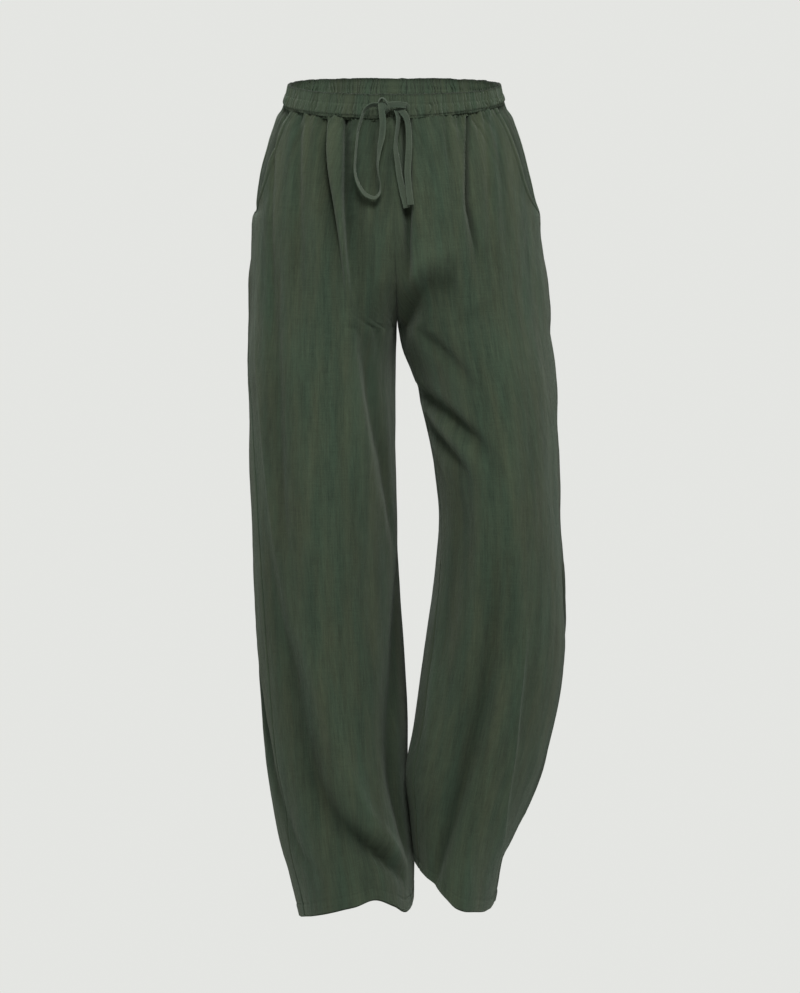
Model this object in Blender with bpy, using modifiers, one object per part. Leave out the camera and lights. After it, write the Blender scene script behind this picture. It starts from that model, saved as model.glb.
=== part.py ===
"""Linen drawstring trousers, filled out as if worn and hollow inside, in metres.

+X is the wearer's left, -Y the front and +Z up. The origin is the middle of the waistband's ring.
A place on the cloth has a height and a turn: turn 0 is the centre front or the inseam, 0.5 the outer
side, and 1 the centre back or the inseam again.
"""
import math
from collections import namedtuple

import bmesh
import bpy
import numpy as np
from mathutils import Vector

# Driving sizes.
CLOTH = 0.0014            # wall of one layer of linen
BAND_CLOTH = 0.0030       # waistband: two layers round its elastic
GAP = 0.0004              # clearance where pieces meet
SEAM_INSET = 0.0003       # each piece stops this short of a seam line
INSEAM_INSET = 0.0006     # and this short of the inseam, where the walls meet at a corner
BAND_TOP = 0.0155
BAND_BOTTOM = -0.0155
PANEL_TOP = BAND_BOTTOM - GAP
CROTCH = -0.2845
HEM_LEVEL = -1.000        # height of a level hem
HEM_ZONE = -0.800         # rows below this follow the hem's own line
HEM_DEPTH = 0.016         # turned-up cloth
TIE_WIDTH = 0.008
TIE_THICKNESS = 0.0012

# The worn waist is lower at the front than at the back.
WAIST_DEPTH = 0.105
WAIST_TILT = 0.0117
WAIST_DIP = 0.0025
TILT_LOW = -0.20          # the tilt fades in from this height
TILT_RUN = 0.17           # over this much

# The centre seam leans a little to the wearer's left on its way down to the crotch.
CENTRE_TOP = -0.0015
CENTRE_LOW = 0.0035

# Section shape: the torso is a squarish oval and each leg a rounder one.
TORSO_POWER = 2.3
LEG_POWER = 2.1
FORK_POWER = 1.60         # the inner half of each leg is pointed at the crotch
FORK_FADE = 0.140         # and round this far below it
FRONT_RISE = 0.110        # height of the curved part of the front crotch seam
BACK_RISE = 0.160
SPLIT_ABOVE = 0.060       # the torso turns into two legs between these distances from the crotch
SPLIT_BELOW = 0.080
CROTCH_REACH = 0.30       # how far the crotch curve shapes the panel, as a share of its width

Outline = namedtuple("Outline", "height outer front back")
RIGHT_OUTLINE = [Outline(*row) for row in (
    (0.0155, -0.1315, -0.1050, 0.1050),
    (0.0000, -0.1350, -0.1060, 0.1060),
    (-0.0155, -0.1400, -0.1075, 0.1080),
    (-0.0300, -0.1475, -0.1100, 0.1120),
    (-0.0660, -0.1598, -0.1140, 0.1200),
    (-0.1160, -0.1700, -0.1175, 0.1300),
    (-0.1660, -0.1770, -0.1195, 0.1365),
    (-0.2400, -0.1813, -0.1190, 0.1360),
    (-0.3150, -0.1828, -0.1160, 0.1260),
    (-0.3900, -0.1818, -0.1130, 0.1160),
    (-0.4900, -0.1797, -0.1100, 0.1070),
    (-0.5900, -0.1770, -0.1060, 0.0980),
    (-0.6900, -0.1722, -0.1020, 0.0920),
    (-0.7900, -0.1650, -0.0985, 0.0900),
    (-0.8400, -0.1600, -0.0970, 0.0905),
    (-0.8900, -0.1520, -0.0960, 0.0920),
    (-0.9400, -0.1415, -0.0950, 0.0940),
    (-0.9850, -0.1290, -0.0945, 0.0960),
    (-1.0250, -0.1200, -0.0940, 0.0970),
)]
LEFT_OUTLINE = [Outline(*row) for row in (
    (0.0155, 0.1312, -0.1050, 0.1050),
    (0.0000, 0.1345, -0.1060, 0.1060),
    (-0.0155, 0.1395, -0.1075, 0.1080),
    (-0.0300, 0.1465, -0.1100, 0.1120),
    (-0.0660, 0.1590, -0.1140, 0.1200),
    (-0.1160, 0.1710, -0.1180, 0.1300),
    (-0.1660, 0.1800, -0.1205, 0.1360),
    (-0.2400, 0.1900, -0.1215, 0.1345),
    (-0.3150, 0.1975, -0.1215, 0.1230),
    (-0.3900, 0.2030, -0.1220, 0.1130),
    (-0.4900, 0.2068, -0.1210, 0.1040),
    (-0.5900, 0.2115, -0.1150, 0.0960),
    (-0.6400, 0.2132, -0.1120, 0.0930),
    (-0.6900, 0.2124, -0.1080, 0.0910),
    (-0.7400, 0.2078, -0.1040, 0.0910),
    (-0.7900, 0.1985, -0.1000, 0.0930),
    (-0.8400, 0.1850, -0.0960, 0.0980),
    (-0.8900, 0.1645, -0.0920, 0.1060),
    (-0.9400, 0.1415, -0.0900, 0.1160),
    (-0.9850, 0.1285, -0.0890, 0.1220),
    (-1.0250, 0.1180, -0.0880, 0.1250),
)]

# The legs' inner sides below the crotch: where they are, and the turn of the inseam and side seam.
Fork = namedtuple("Fork", "height inner inner_y inseam side_seam")
RIGHT_FORK = [Fork(*row) for row in (
    (CROTCH, 0.0031, 0.012, 0.000, 0.484),
    (-0.3150, 0.0019, 0.009, -0.004, 0.470),
    (-0.3900, 0.0004, 0.006, -0.020, 0.440),
    (-0.4900, 0.0017, 0.004, -0.040, 0.420),
    (-0.5900, 0.0044, 0.004, -0.055, 0.410),
    (-0.6900, 0.0107, 0.008, -0.060, 0.409),
    (-0.7900, 0.0160, 0.020, -0.060, 0.409),
    (-0.8400, 0.0166, 0.026, -0.060, 0.410),
    (-0.8900, 0.0205, 0.028, -0.060, 0.412),
    (-0.9400, 0.0243, 0.028, -0.060, 0.415),
    (-1.0250, 0.0245, 0.022, -0.060, 0.420),
)]
LEFT_FORK = [Fork(*row) for row in (
    (CROTCH, 0.0039, 0.012, 0.000, 0.484),
    (-0.3150, 0.0108, 0.008, 0.003, 0.490),
    (-0.3400, 0.0214, 0.004, 0.008, 0.496),
    (-0.3900, 0.0356, 0.000, 0.018, 0.508),
    (-0.4400, 0.0458, -0.006, 0.030, 0.520),
    (-0.5150, 0.0545, -0.010, 0.048, 0.532),
    (-0.5900, 0.0507, -0.010, 0.062, 0.544),
    (-0.6900, 0.0372, -0.014, 0.074, 0.554),
    (-0.7900, 0.0232, -0.028, 0.076, 0.556),
    (-0.8400, 0.0140, -0.034, 0.075, 0.555),
    (-0.8900, 0.0190, -0.032, 0.072, 0.552),
    (-0.9400, 0.0237, -0.020, 0.068, 0.548),
    (-1.0250, 0.0350, 0.000, 0.064, 0.544),
)]

# Each hem's own line round the leg, by turn.
Hem = namedtuple("Hem", "turn height")
RIGHT_HEM = [Hem(*row) for row in (
    (0.000, -0.998), (0.040, -1.010), (0.080, -1.013), (0.136, -1.001), (0.190, -0.991),
    (0.250, -0.999), (0.336, -1.010), (0.414, -1.018), (0.500, -1.025), (0.620, -1.018),
    (0.750, -1.012), (0.900, -1.006), (1.000, -0.998),
)]
LEFT_HEM = [Hem(*row) for row in (
    (0.000, -0.951), (0.085, -0.965), (0.148, -0.978), (0.195, -0.990), (0.245, -1.003),
    (0.276, -1.007), (0.326, -1.009), (0.400, -1.010), (0.500, -1.007), (0.620, -1.004),
    (0.750, -0.992), (0.870, -0.972), (1.000, -0.951),
)]

# The slanted pocket mouth, from the band down to the side seam.
Mouth = namedtuple("Mouth", "height turn")
POCKET_MOUTH = [Mouth(*row) for row in (
    (-0.0159, 0.414), (-0.0720, 0.419), (-0.1060, 0.427), (-0.1340, 0.456), (-0.1460, 0.484),
)]
POCKET_LOW = -0.162       # lower end of the facing
POCKET_TUCK = 0.035       # turn that the facing runs on behind the front
POCKET_ROOM = 0.0018      # between the front and its facing

# The largest folds, each along a line seen from the front or back, as troughs (depth below zero is
# a ridge). side is "right" or "left" and face "front" or "back".
Fold = namedtuple("Fold", "side face x_top z_top x_low z_low half_width depth")
FOLDS = [Fold(*row) for row in (
    ("right", "front", -0.084, -0.020, -0.064, -0.235, 0.010, 0.008),
    ("right", "front", -0.070, -0.030, -0.045, -0.330, 0.010, -0.003),
    ("right", "front", -0.060, -0.020, -0.056, -0.200, 0.009, 0.007),
    ("right", "front", -0.066, -0.230, -0.022, -0.460, 0.014, 0.005),
    ("right", "front", -0.145, -0.280, -0.126, -0.650, 0.022, 0.006),
    ("right", "front", -0.120, -0.620, -0.066, -0.880, 0.022, 0.007),
    ("right", "front", -0.072, -0.860, 0.012, -0.975, 0.016, 0.009),
    ("right", "front", -0.006, -0.620, 0.006, -0.930, 0.014, 0.006),
    ("right", "back", -0.090, -0.030, -0.104, -0.210, 0.012, 0.006),
    ("right", "back", -0.030, -0.250, -0.120, -0.330, 0.016, 0.007),
    ("right", "back", -0.080, -0.360, -0.066, -0.740, 0.024, 0.007),
    ("right", "back", -0.130, -0.560, -0.050, -0.960, 0.022, 0.006),
    ("left", "front", 0.090, -0.020, 0.100, -0.190, 0.010, 0.008),
    ("left", "front", 0.021, -0.022, 0.019, -0.200, 0.010, 0.004),
    ("left", "front", 0.008, -0.275, 0.056, -0.214, 0.022, 0.008),
    ("left", "front", 0.024, -0.336, 0.116, -0.416, 0.013, 0.007),
    ("left", "front", 0.042, -0.392, 0.103, -0.478, 0.012, 0.007),
    ("left", "front", 0.130, -0.560, 0.064, -0.950, 0.018, 0.007),
    ("left", "front", 0.160, -0.690, 0.140, -0.900, 0.014, -0.004),
    ("left", "back", 0.084, -0.030, 0.104, -0.200, 0.012, 0.006),
    ("left", "back", 0.032, -0.250, 0.122, -0.336, 0.016, 0.007),
    ("left", "back", 0.110, -0.380, 0.134, -0.720, 0.024, 0.007),
    ("left", "back", 0.160, -0.600, 0.084, -0.940, 0.022, 0.006),
)]
FOLD_START = 0.12         # shares of a fold's length over which it deepens and fades
FOLD_END = 0.45
FOLD_SEAM = 0.06          # share of the half's width over which folds flatten towards the middle

# Rows and columns of the faceted pieces.
TORSO_ROWS = (PANEL_TOP, -0.034, -0.060, -0.092, -0.120, -0.134, -0.146)
CROTCH_ROWS = (1.00, 0.64, 0.38, 0.19, 0.07, 0.015, 0.00)      # shares of the rise
LEG_ROWS = (-0.302, -0.335, -0.380, -0.435, -0.495, -0.560, -0.625, -0.690, -0.750,
            HEM_ZONE, -0.850, -0.897, -0.937, -0.965, HEM_LEVEL + HEM_DEPTH, HEM_LEVEL)
ROW_SPACING = 0.010       # least distance from a torso row to the first crotch row
FRONT_COLUMNS = 24
COLUMN_EVENNESS = 0.35    # 0 spaces columns by turn, and 1 evenly across the front view
BACK_COLUMNS = 10
BAND_COLUMNS = 20
BAND_ROWS = (BAND_TOP, 0.006, -0.006, BAND_BOTTOM)
FACING_COLUMNS = 5

# The tie's routes, top to bottom, as x, y, z and the twist of its flat face from facing the front.
Stop = namedtuple("Stop", "x y z twist")
LOOP_ROUTE = [Stop(*row) for row in (
    (-0.0215, -0.1150, -0.0100, 40), (-0.0270, -0.1160, -0.0105, 60), (-0.0325, -0.1168, -0.0130, 80),
    (-0.0372, -0.1175, -0.0175, 90), (-0.0404, -0.1180, -0.0260, 90), (-0.0427, -0.1184, -0.0350, 90),
    (-0.0446, -0.1188, -0.0450, 90), (-0.0461, -0.1192, -0.0600, 90), (-0.0474, -0.1198, -0.0750, 90),
    (-0.0482, -0.1204, -0.0900, 90), (-0.0462, -0.1208, -0.1020, 85), (-0.0415, -0.1212, -0.1125, 78),
    (-0.0340, -0.1214, -0.1215, 72), (-0.0240, -0.1216, -0.1245, 72), (-0.0180, -0.1214, -0.1190, 80),
    (-0.0172, -0.1212, -0.1090, 86), (-0.0194, -0.1208, -0.0980, 88), (-0.0204, -0.1202, -0.0860, 86),
    (-0.0194, -0.1196, -0.0750, 76), (-0.0178, -0.1190, -0.0640, 56), (-0.0152, -0.1184, -0.0500, 24),
    (-0.0138, -0.1180, -0.0340, 8), (-0.0142, -0.1176, -0.0210, 4), (-0.0146, -0.1160, -0.0125, 0),
)]
RIGHT_TAIL_ROUTE = [Stop(*row) for row in (
    (0.0030, -0.1150, -0.0215, 30), (0.0052, -0.1160, -0.0250, 58), (0.0058, -0.1168, -0.0295, 76),
    (0.0050, -0.1174, -0.0350, 82), (0.0036, -0.1180, -0.0410, 80), (0.0024, -0.1184, -0.0480, 70),
    (0.0018, -0.1188, -0.0560, 58), (0.0017, -0.1192, -0.0650, 48), (0.0026, -0.1195, -0.0740, 42),
    (0.0040, -0.1198, -0.0830, 38), (0.0052, -0.1201, -0.0920, 32), (0.0068, -0.1204, -0.1010, 26),
    (0.0086, -0.1207, -0.1100, 20), (0.0106, -0.1210, -0.1190, 16), (0.0130, -0.1213, -0.1285, 12),
    (0.0152, -0.1216, -0.1370, 10),
)]
LEFT_TAIL_ROUTE = [Stop(*row) for row in (
    (0.0120, -0.1180, -0.0225, 10), (0.0146, -0.1186, -0.0270, 26), (0.0163, -0.1192, -0.0330, 36),
    (0.0172, -0.1197, -0.0400, 34), (0.0177, -0.1202, -0.0480, 28), (0.0179, -0.1206, -0.0570, 20),
    (0.0177, -0.1210, -0.0670, 14), (0.0172, -0.1214, -0.0760, 12), (0.0166, -0.1218, -0.0850, 10),
    (0.0163, -0.1222, -0.0930, 8), (0.0166, -0.1226, -0.1010, 8), (0.0172, -0.1230, -0.1090, 8),
    (0.0180, -0.1234, -0.1170, 8), (0.0190, -0.1238, -0.1255, 6), (0.0200, -0.1241, -0.1335, 4),
)]
KNOT_ROUTE = [Stop(*row) for row in (
    (-0.0120, -0.1120, -0.0048, 0), (-0.0070, -0.1152, -0.0064, 0), (-0.0010, -0.1172, -0.0096, 0),
    (0.0050, -0.1178, -0.0130, 0), (0.0105, -0.1160, -0.0152, 0), (0.0150, -0.1122, -0.0163, 0),
)]
KNOT_WIDTH = 0.0066
KNOT_THICKNESS = 0.0040
KNOT_SIDES = 10

# The worked buttonholes in the band's outer layer.
Slot = namedtuple("Slot", "x z")
BUTTONHOLES = (Slot(-0.0150, -0.0060), Slot(0.0165, -0.0165))
BUTTONHOLE_WIDTH = 0.0055
BUTTONHOLE_HEIGHT = 0.0026
BUTTONHOLE_DEPTH = 0.0014

LINEN_COLOUR = (0.045, 0.062, 0.042, 1.0)
TIE_COLOUR = (0.062, 0.082, 0.058, 1.0)
LINEN_ROUGHNESS = 0.85


def smooth(share):
    """0 to 1 with level ends."""
    share = np.clip(share, 0.0, 1.0)
    return share * share * (3.0 - 2.0 * share)


def curve(table, column, place, key="height"):
    """A column's values at the places given, on a smooth curve through the table's rows."""
    knots = np.array([getattr(row, key) for row in table])
    values = np.array([getattr(row, column) for row in table])
    if knots[0] > knots[-1]:
        knots, values = knots[::-1], values[::-1]
    slopes = np.gradient(values, knots)
    place = np.clip(place, knots[0], knots[-1])
    k = np.clip(np.searchsorted(knots, place, side="right") - 1, 0, len(knots) - 2)
    step = knots[k + 1] - knots[k]
    u = (place - knots[k]) / step
    start = (1 + 2 * u) * (1 - u) ** 2 * values[k] + u * (1 - u) ** 2 * step * slopes[k]
    end = u * u * (3 - 2 * u) * values[k + 1] + u * u * (u - 1) * step * slopes[k + 1]
    return start + end


class Half:
    """The wearer's right or left half of the trousers, as a surface over turn and height."""

    def __init__(self, name, sign, outline, fork, hem):
        self.name = name
        self.sign = sign
        self.outline = outline
        self.fork = fork
        self.hem = hem

    def inner(self, height):
        """The centre seam above the crotch, and the leg's inner side below it."""
        down = (BAND_TOP - height) / (BAND_TOP - CROTCH)
        centre = CENTRE_TOP + (CENTRE_LOW - CENTRE_TOP) * down + self.sign * GAP / 2
        return np.where(height >= CROTCH, centre, curve(self.fork, "inner", height))

    def leg_share(self, inset, height, rise):
        """0 on the torso and 1 on the leg, rounding into the crotch curve near the middle."""
        body = smooth((CROTCH + SPLIT_ABOVE - height) / (SPLIT_ABOVE + SPLIT_BELOW))
        up = np.clip((height - CROTCH) / rise, 0.0, 1.0)
        near = np.minimum(np.hypot(up, inset / CROTCH_REACH), 1.0)
        return 1.0 - (1.0 - body) * np.sqrt(1.0 - (1.0 - near) ** 2)

    def point(self, turn, height):
        """Smooth outer face, without folds and tilt, as an array of points."""
        turn, height = np.broadcast_arrays(np.asarray(turn, float), np.asarray(height, float))
        turn = np.where(height <= CROTCH, np.mod(turn, 1.0), np.clip(turn, 0.0, 1.0))
        on_front = turn < 0.5
        inset = (1.0 - np.cos(2.0 * math.pi * turn)) / 2.0
        outer = curve(self.outline, "outer", height)
        inner = self.inner(height)
        front = curve(self.outline, "front", height)
        back = curve(self.outline, "back", height)
        share = np.where(on_front, self.leg_share(inset, height, FRONT_RISE),
                         self.leg_share(inset, height, BACK_RISE))
        torso = (1.0 - inset ** TORSO_POWER) ** (1.0 / TORSO_POWER)
        pointed = FORK_POWER + (LEG_POWER - FORK_POWER) * smooth((CROTCH - height) / FORK_FADE)
        power = np.where(inset < 0.5, pointed, LEG_POWER)
        leg = (1.0 - np.abs(2.0 * inset - 1.0) ** power) ** (1.0 / power)
        bulge = (1.0 - share) * torso + share * leg
        rest_y = (1.0 - inset) * curve(self.fork, "inner_y", height) + inset * (front + back) / 2.0
        y = rest_y + (np.where(on_front, front, back) - rest_y) * bulge
        return np.stack([inner + (outer - inner) * inset, y, height], axis=-1)

    def outward(self, turn, height):
        """Unit vectors out of the cloth."""
        step = 0.001
        across = self.point(turn + step, height) - self.point(turn - step, height)
        upward = self.point(turn, height + step) - self.point(turn, height - step)
        normal = self.sign * np.cross(across, upward)
        return normal / np.linalg.norm(normal, axis=-1, keepdims=True)

    def hem_row(self, turn, height):
        """The height of a row's point: low rows follow the hem's line."""
        hem = curve(self.hem, "height", np.mod(turn, 1.0), key="turn")
        stretched = HEM_ZONE + (height - HEM_ZONE) * (hem - HEM_ZONE) / (HEM_LEVEL - HEM_ZONE)
        return np.where(height < HEM_ZONE, stretched, height)

    def fold_depth(self, turn, points):
        """How far the folds push the points in."""
        depth = np.zeros(points.shape[:-1])
        x, z = points[..., 0], points[..., 2]
        for fold in FOLDS:
            if fold.side != self.name:
                continue
            line_x, line_z = fold.x_low - fold.x_top, fold.z_low - fold.z_top
            length = math.hypot(line_x, line_z)
            share = ((x - fold.x_top) * line_x + (z - fold.z_top) * line_z) / length ** 2
            off = ((x - fold.x_top) * line_z - (z - fold.z_top) * line_x) / length
            taper = smooth(share / FOLD_START) * smooth((1.0 - share) / FOLD_END)
            facing = (np.mod(turn, 1.0) < 0.5) == (fold.face == "front")
            depth += fold.depth * taper * np.exp(-(off / fold.half_width) ** 2) * facing
        inset = (1.0 - np.cos(2.0 * math.pi * turn)) / 2.0
        return depth * smooth(inset / FOLD_SEAM)

    def cloth(self, turn, height, inward=0.0):
        """Points of the folded, tilted outer face, moved in by the distance given."""
        height = self.hem_row(turn, height)
        points = self.point(turn, height)
        move = self.fold_depth(turn, points) + inward
        points = points - self.outward(turn, height) * move[..., None]
        return tilted(points)


def tilted(points):
    """Lowers the front of the waist and lifts the back; the tilt fades out below the hips."""
    points = points.copy()
    lean = points[..., 1] / WAIST_DEPTH
    fade = smooth((points[..., 2] - TILT_LOW) / TILT_RUN)
    points[..., 2] += (WAIST_TILT * lean - WAIST_DIP * lean ** 2) * fade
    return points


def empty_scene():
    for item in list(bpy.data.objects):
        bpy.data.objects.remove(item, do_unlink=True)


def new_collection(name):
    collection = bpy.data.collections.new(name)
    bpy.context.scene.collection.children.link(collection)
    return collection


def new_material(name, colour):
    material = bpy.data.materials.new(name)
    material.use_nodes = True
    shader = material.node_tree.nodes["Principled BSDF"]
    shader.inputs["Base Color"].default_value = colour
    shader.inputs["Roughness"].default_value = LINEN_ROUGHNESS
    shader.inputs["Metallic"].default_value = 0.0
    return material


def new_object(name, mesh_data, collection, colour):
    """An object from a bmesh, with its own material."""
    mesh = bpy.data.meshes.new(name)
    mesh_data.to_mesh(mesh)
    mesh_data.free()
    mesh.materials.append(new_material(name, colour))
    piece = bpy.data.objects.new(name, mesh)
    collection.objects.link(piece)
    return piece


def sheet_mesh(grid, flip, closed=False):
    """One layer of faces through a grid of points; closed joins its last column to its first."""
    mesh = bmesh.new()
    rows = [[mesh.verts.new(Vector(point)) for point in row] for row in grid]
    columns = len(rows[0])
    for upper, lower in zip(rows, rows[1:]):
        for j in range(columns if closed else columns - 1):
            k = (j + 1) % columns
            corners = [upper[j], lower[j], lower[k], upper[k]]
            mesh.faces.new(corners[::-1] if flip else corners)
    return mesh


def add_wall(piece, thickness):
    wall = piece.modifiers.new("Wall", "SOLIDIFY")
    wall.thickness = thickness
    wall.offset = -1.0


def inset_edges(grid, first, last):
    """Draws the first and last columns in along their rows, to leave clearance at the seams."""
    for edge, beside, distance in ((0, 1, first), (-1, -2, last)):
        along = grid[:, beside] - grid[:, edge]
        grid[:, edge] += along * (distance / np.linalg.norm(along, axis=-1))[:, None]
    return grid


def side_seam(half, height):
    return curve(half.fork, "side_seam", height)


def inseam(half, height):
    return curve(half.fork, "inseam", height)


def front_edge(half, height):
    """The front's outer edge: the pocket mouth, and the side seam below it."""
    mouth = curve(POCKET_MOUTH, "turn", height)
    return np.where(height > POCKET_MOUTH[-1].height, mouth, side_seam(half, height))


def panel_heights(rise):
    curved = tuple(CROTCH + share * rise for share in CROTCH_ROWS)
    above = tuple(height for height in TORSO_ROWS if height > curved[0] + ROW_SPACING)
    return np.array(above + curved + LEG_ROWS)


def panel_turns(start, end, columns):
    shares = np.linspace(0.0, 1.0, columns + 1)
    shares += COLUMN_EVENNESS * (np.arccos(1.0 - 2.0 * shares) / math.pi - shares)
    return start[:, None] + (end - start)[:, None] * shares


def front_turns(half, heights):
    return panel_turns(inseam(half, heights), front_edge(half, heights), FRONT_COLUMNS)


def back_turns(half, heights):
    return panel_turns(side_seam(half, heights), 1.0 + inseam(half, heights), BACK_COLUMNS)


def add_panel(name, half, heights, turns, insets, collection):
    grid = inset_edges(half.cloth(turns, heights[:, None]), *insets)
    piece = new_object(name, sheet_mesh(grid, half.sign < 0), collection, LINEN_COLOUR)
    add_wall(piece, CLOTH)


def inseam_inset(heights):
    """The halves are already apart above the crotch."""
    return np.where(heights > CROTCH, 0.0, INSEAM_INSET)


def add_fronts_and_backs(half, collection):
    heights = panel_heights(FRONT_RISE)
    add_panel("front_" + half.name, half, heights, front_turns(half, heights),
              (inseam_inset(heights), SEAM_INSET), collection)
    heights = panel_heights(BACK_RISE)
    add_panel("back_" + half.name, half, heights, back_turns(half, heights),
              (SEAM_INSET, inseam_inset(heights)), collection)


def add_pocket_facing(half, collection):
    """The cloth behind the pocket mouth, from under the front to the side seam."""
    heights = np.array(TORSO_ROWS + (POCKET_LOW,))
    mouth = curve(POCKET_MOUTH, "turn", heights)
    turns = panel_turns(mouth - POCKET_TUCK, side_seam(half, heights), FACING_COLUMNS)
    grid = inset_edges(half.cloth(turns, heights[:, None], CLOTH + POCKET_ROOM), SEAM_INSET, SEAM_INSET)
    name = "pocket_facing_" + half.name
    piece = new_object(name, sheet_mesh(grid, half.sign < 0), collection, LINEN_COLOUR)
    add_wall(piece, CLOTH)


def add_hem(half, collection):
    """The leg's turned-up edge, one closed band inside the panels."""
    heights = np.array([HEM_LEVEL + HEM_DEPTH, HEM_LEVEL + GAP])
    turns = np.hstack([front_turns(half, heights)[:, :-1], back_turns(half, heights)[:, :-1]])
    grid = half.cloth(turns, heights[:, None], CLOTH + GAP)
    mesh = sheet_mesh(grid, half.sign < 0, closed=True)
    piece = new_object("hem_" + half.name, mesh, collection, LINEN_COLOUR)
    add_wall(piece, CLOTH)


def add_buttonhole_cutter(slot, half, collection):
    inset = (slot.x - CENTRE_TOP) / half.outline[1].outer
    turn = math.acos(1.0 - 2.0 * inset) / (2.0 * math.pi)
    face = tilted(half.point(turn, slot.z + WAIST_TILT + WAIST_DIP))
    bpy.ops.mesh.primitive_cylinder_add(vertices=16, radius=0.5, depth=1.0)
    cutter = bpy.context.object
    cutter.name = "buttonhole_cutter_" + half.name
    cutter.data.transform(cutter.matrix_world)
    cutter.rotation_euler = (math.radians(90.0), 0.0, 0.0)
    cutter.scale = (BUTTONHOLE_WIDTH, BUTTONHOLE_HEIGHT, 2.0 * BUTTONHOLE_DEPTH)
    cutter.location = (slot.x, float(face[1]), float(face[2]))
    for other in list(cutter.users_collection):
        other.objects.unlink(cutter)
    collection.objects.link(cutter)
    cutter.hide_render = True
    cutter.display_type = "WIRE"
    return cutter


def add_waistband(right, left, collection, cutters):
    """The gathered casing, one ring, with its two buttonholes sunk in the outer layer."""
    heights = np.array(BAND_ROWS)
    turns = np.linspace(0.0, 1.0, BAND_COLUMNS + 1)[None, :]
    right_half = right.cloth(turns, heights[:, None])
    left_half = left.cloth(turns, heights[:, None])
    grid = np.hstack([left_half[:, 1:-1], right_half[:, ::-1]])
    mesh = sheet_mesh(grid, False, closed=True)
    piece = new_object("waistband", mesh, collection, LINEN_COLOUR)
    add_wall(piece, BAND_CLOTH)
    for slot, half in zip(BUTTONHOLES, (right, left)):
        cut = piece.modifiers.new("Buttonhole", "BOOLEAN")
        cut.operation = "DIFFERENCE"
        cut.solver = "EXACT"
        cut.object = add_buttonhole_cutter(slot, half, cutters)


def smooth_route(route, pieces):
    """Points and twists on a smooth curve through the route's stops."""
    stops = np.array(route, float)
    padded = np.vstack([2 * stops[0] - stops[1], stops, 2 * stops[-1] - stops[-2]])
    found = []
    for k in range(1, len(stops)):
        before, start, end, after = padded[k - 1:k + 3]
        for step in range(pieces):
            u = step / pieces
            found.append(0.5 * (2 * start + (end - before) * u
                                + (2 * before - 5 * start + 4 * end - after) * u ** 2
                                + (3 * start - before - 3 * end + after) * u ** 3))
    found.append(stops[-1])
    return np.array(found)


def loft_along(route, section, pieces):
    """A closed solid: the section, as (width, thickness) pairs, carried along a route."""
    path = smooth_route(route, pieces)
    places = path[:, :3]
    tangents = np.gradient(places, axis=0)
    mesh = bmesh.new()
    rings = []
    for place, tangent, twist in zip(places, tangents, np.radians(path[:, 3])):
        heading = Vector(tangent).normalized()
        across = heading.cross(Vector((0.0, -1.0, 0.0))).normalized()
        facing = across.cross(heading)
        wide = across * math.cos(twist) + facing * math.sin(twist)
        thick = heading.cross(wide)
        rings.append([mesh.verts.new(Vector(place) + wide * a + thick * b) for a, b in section])
    for ring, following in zip(rings, rings[1:]):
        for j in range(len(section)):
            k = (j + 1) % len(section)
            mesh.faces.new([ring[j], ring[k], following[k], following[j]])
    mesh.faces.new(rings[0][::-1])
    mesh.faces.new(rings[-1])
    bmesh.ops.recalc_face_normals(mesh, faces=mesh.faces)
    return mesh


def add_drawstring(collection):
    half_width, half_thickness = TIE_WIDTH / 2, TIE_THICKNESS / 2
    flat = [(-half_width, -half_thickness), (half_width, -half_thickness),
            (half_width, half_thickness), (-half_width, half_thickness)]
    routes = {"drawstring_loop": LOOP_ROUTE, "drawstring_tail_right": RIGHT_TAIL_ROUTE,
              "drawstring_tail_left": LEFT_TAIL_ROUTE}
    for name, route in routes.items():
        new_object(name, loft_along(route, flat, 2), collection, TIE_COLOUR)
    angles = [2.0 * math.pi * k / KNOT_SIDES for k in range(KNOT_SIDES)]
    oval = [(KNOT_WIDTH / 2 * math.cos(a), KNOT_THICKNESS / 2 * math.sin(a)) for a in angles]
    new_object("drawstring_knot", loft_along(KNOT_ROUTE, oval, 2), collection, TIE_COLOUR)


def main():
    empty_scene()
    parts = new_collection("linen_drawstring_trousers")
    cutters = new_collection("cutters")
    right = Half("right", -1.0, RIGHT_OUTLINE, RIGHT_FORK, RIGHT_HEM)
    left = Half("left", 1.0, LEFT_OUTLINE, LEFT_FORK, LEFT_HEM)
    for half in (right, left):
        add_fronts_and_backs(half, parts)
        add_pocket_facing(half, parts)
        add_hem(half, parts)
    add_waistband(right, left, parts, cutters)
    add_drawstring(parts)


main()
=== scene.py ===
"""Looks of the linen drawstring trousers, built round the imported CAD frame, in metres.

+X is the wearer's left, -Y the front and +Z up, with the origin in the middle of the waistband's ring.
A place on the cloth has a height and a turn: turn 0 is the centre front or the inseam, 0.5 the outer
side, and 1 the centre back or the inseam again. "Left" and "right" in a piece's name are the wearer's.
"""
import math
from collections import namedtuple

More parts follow.
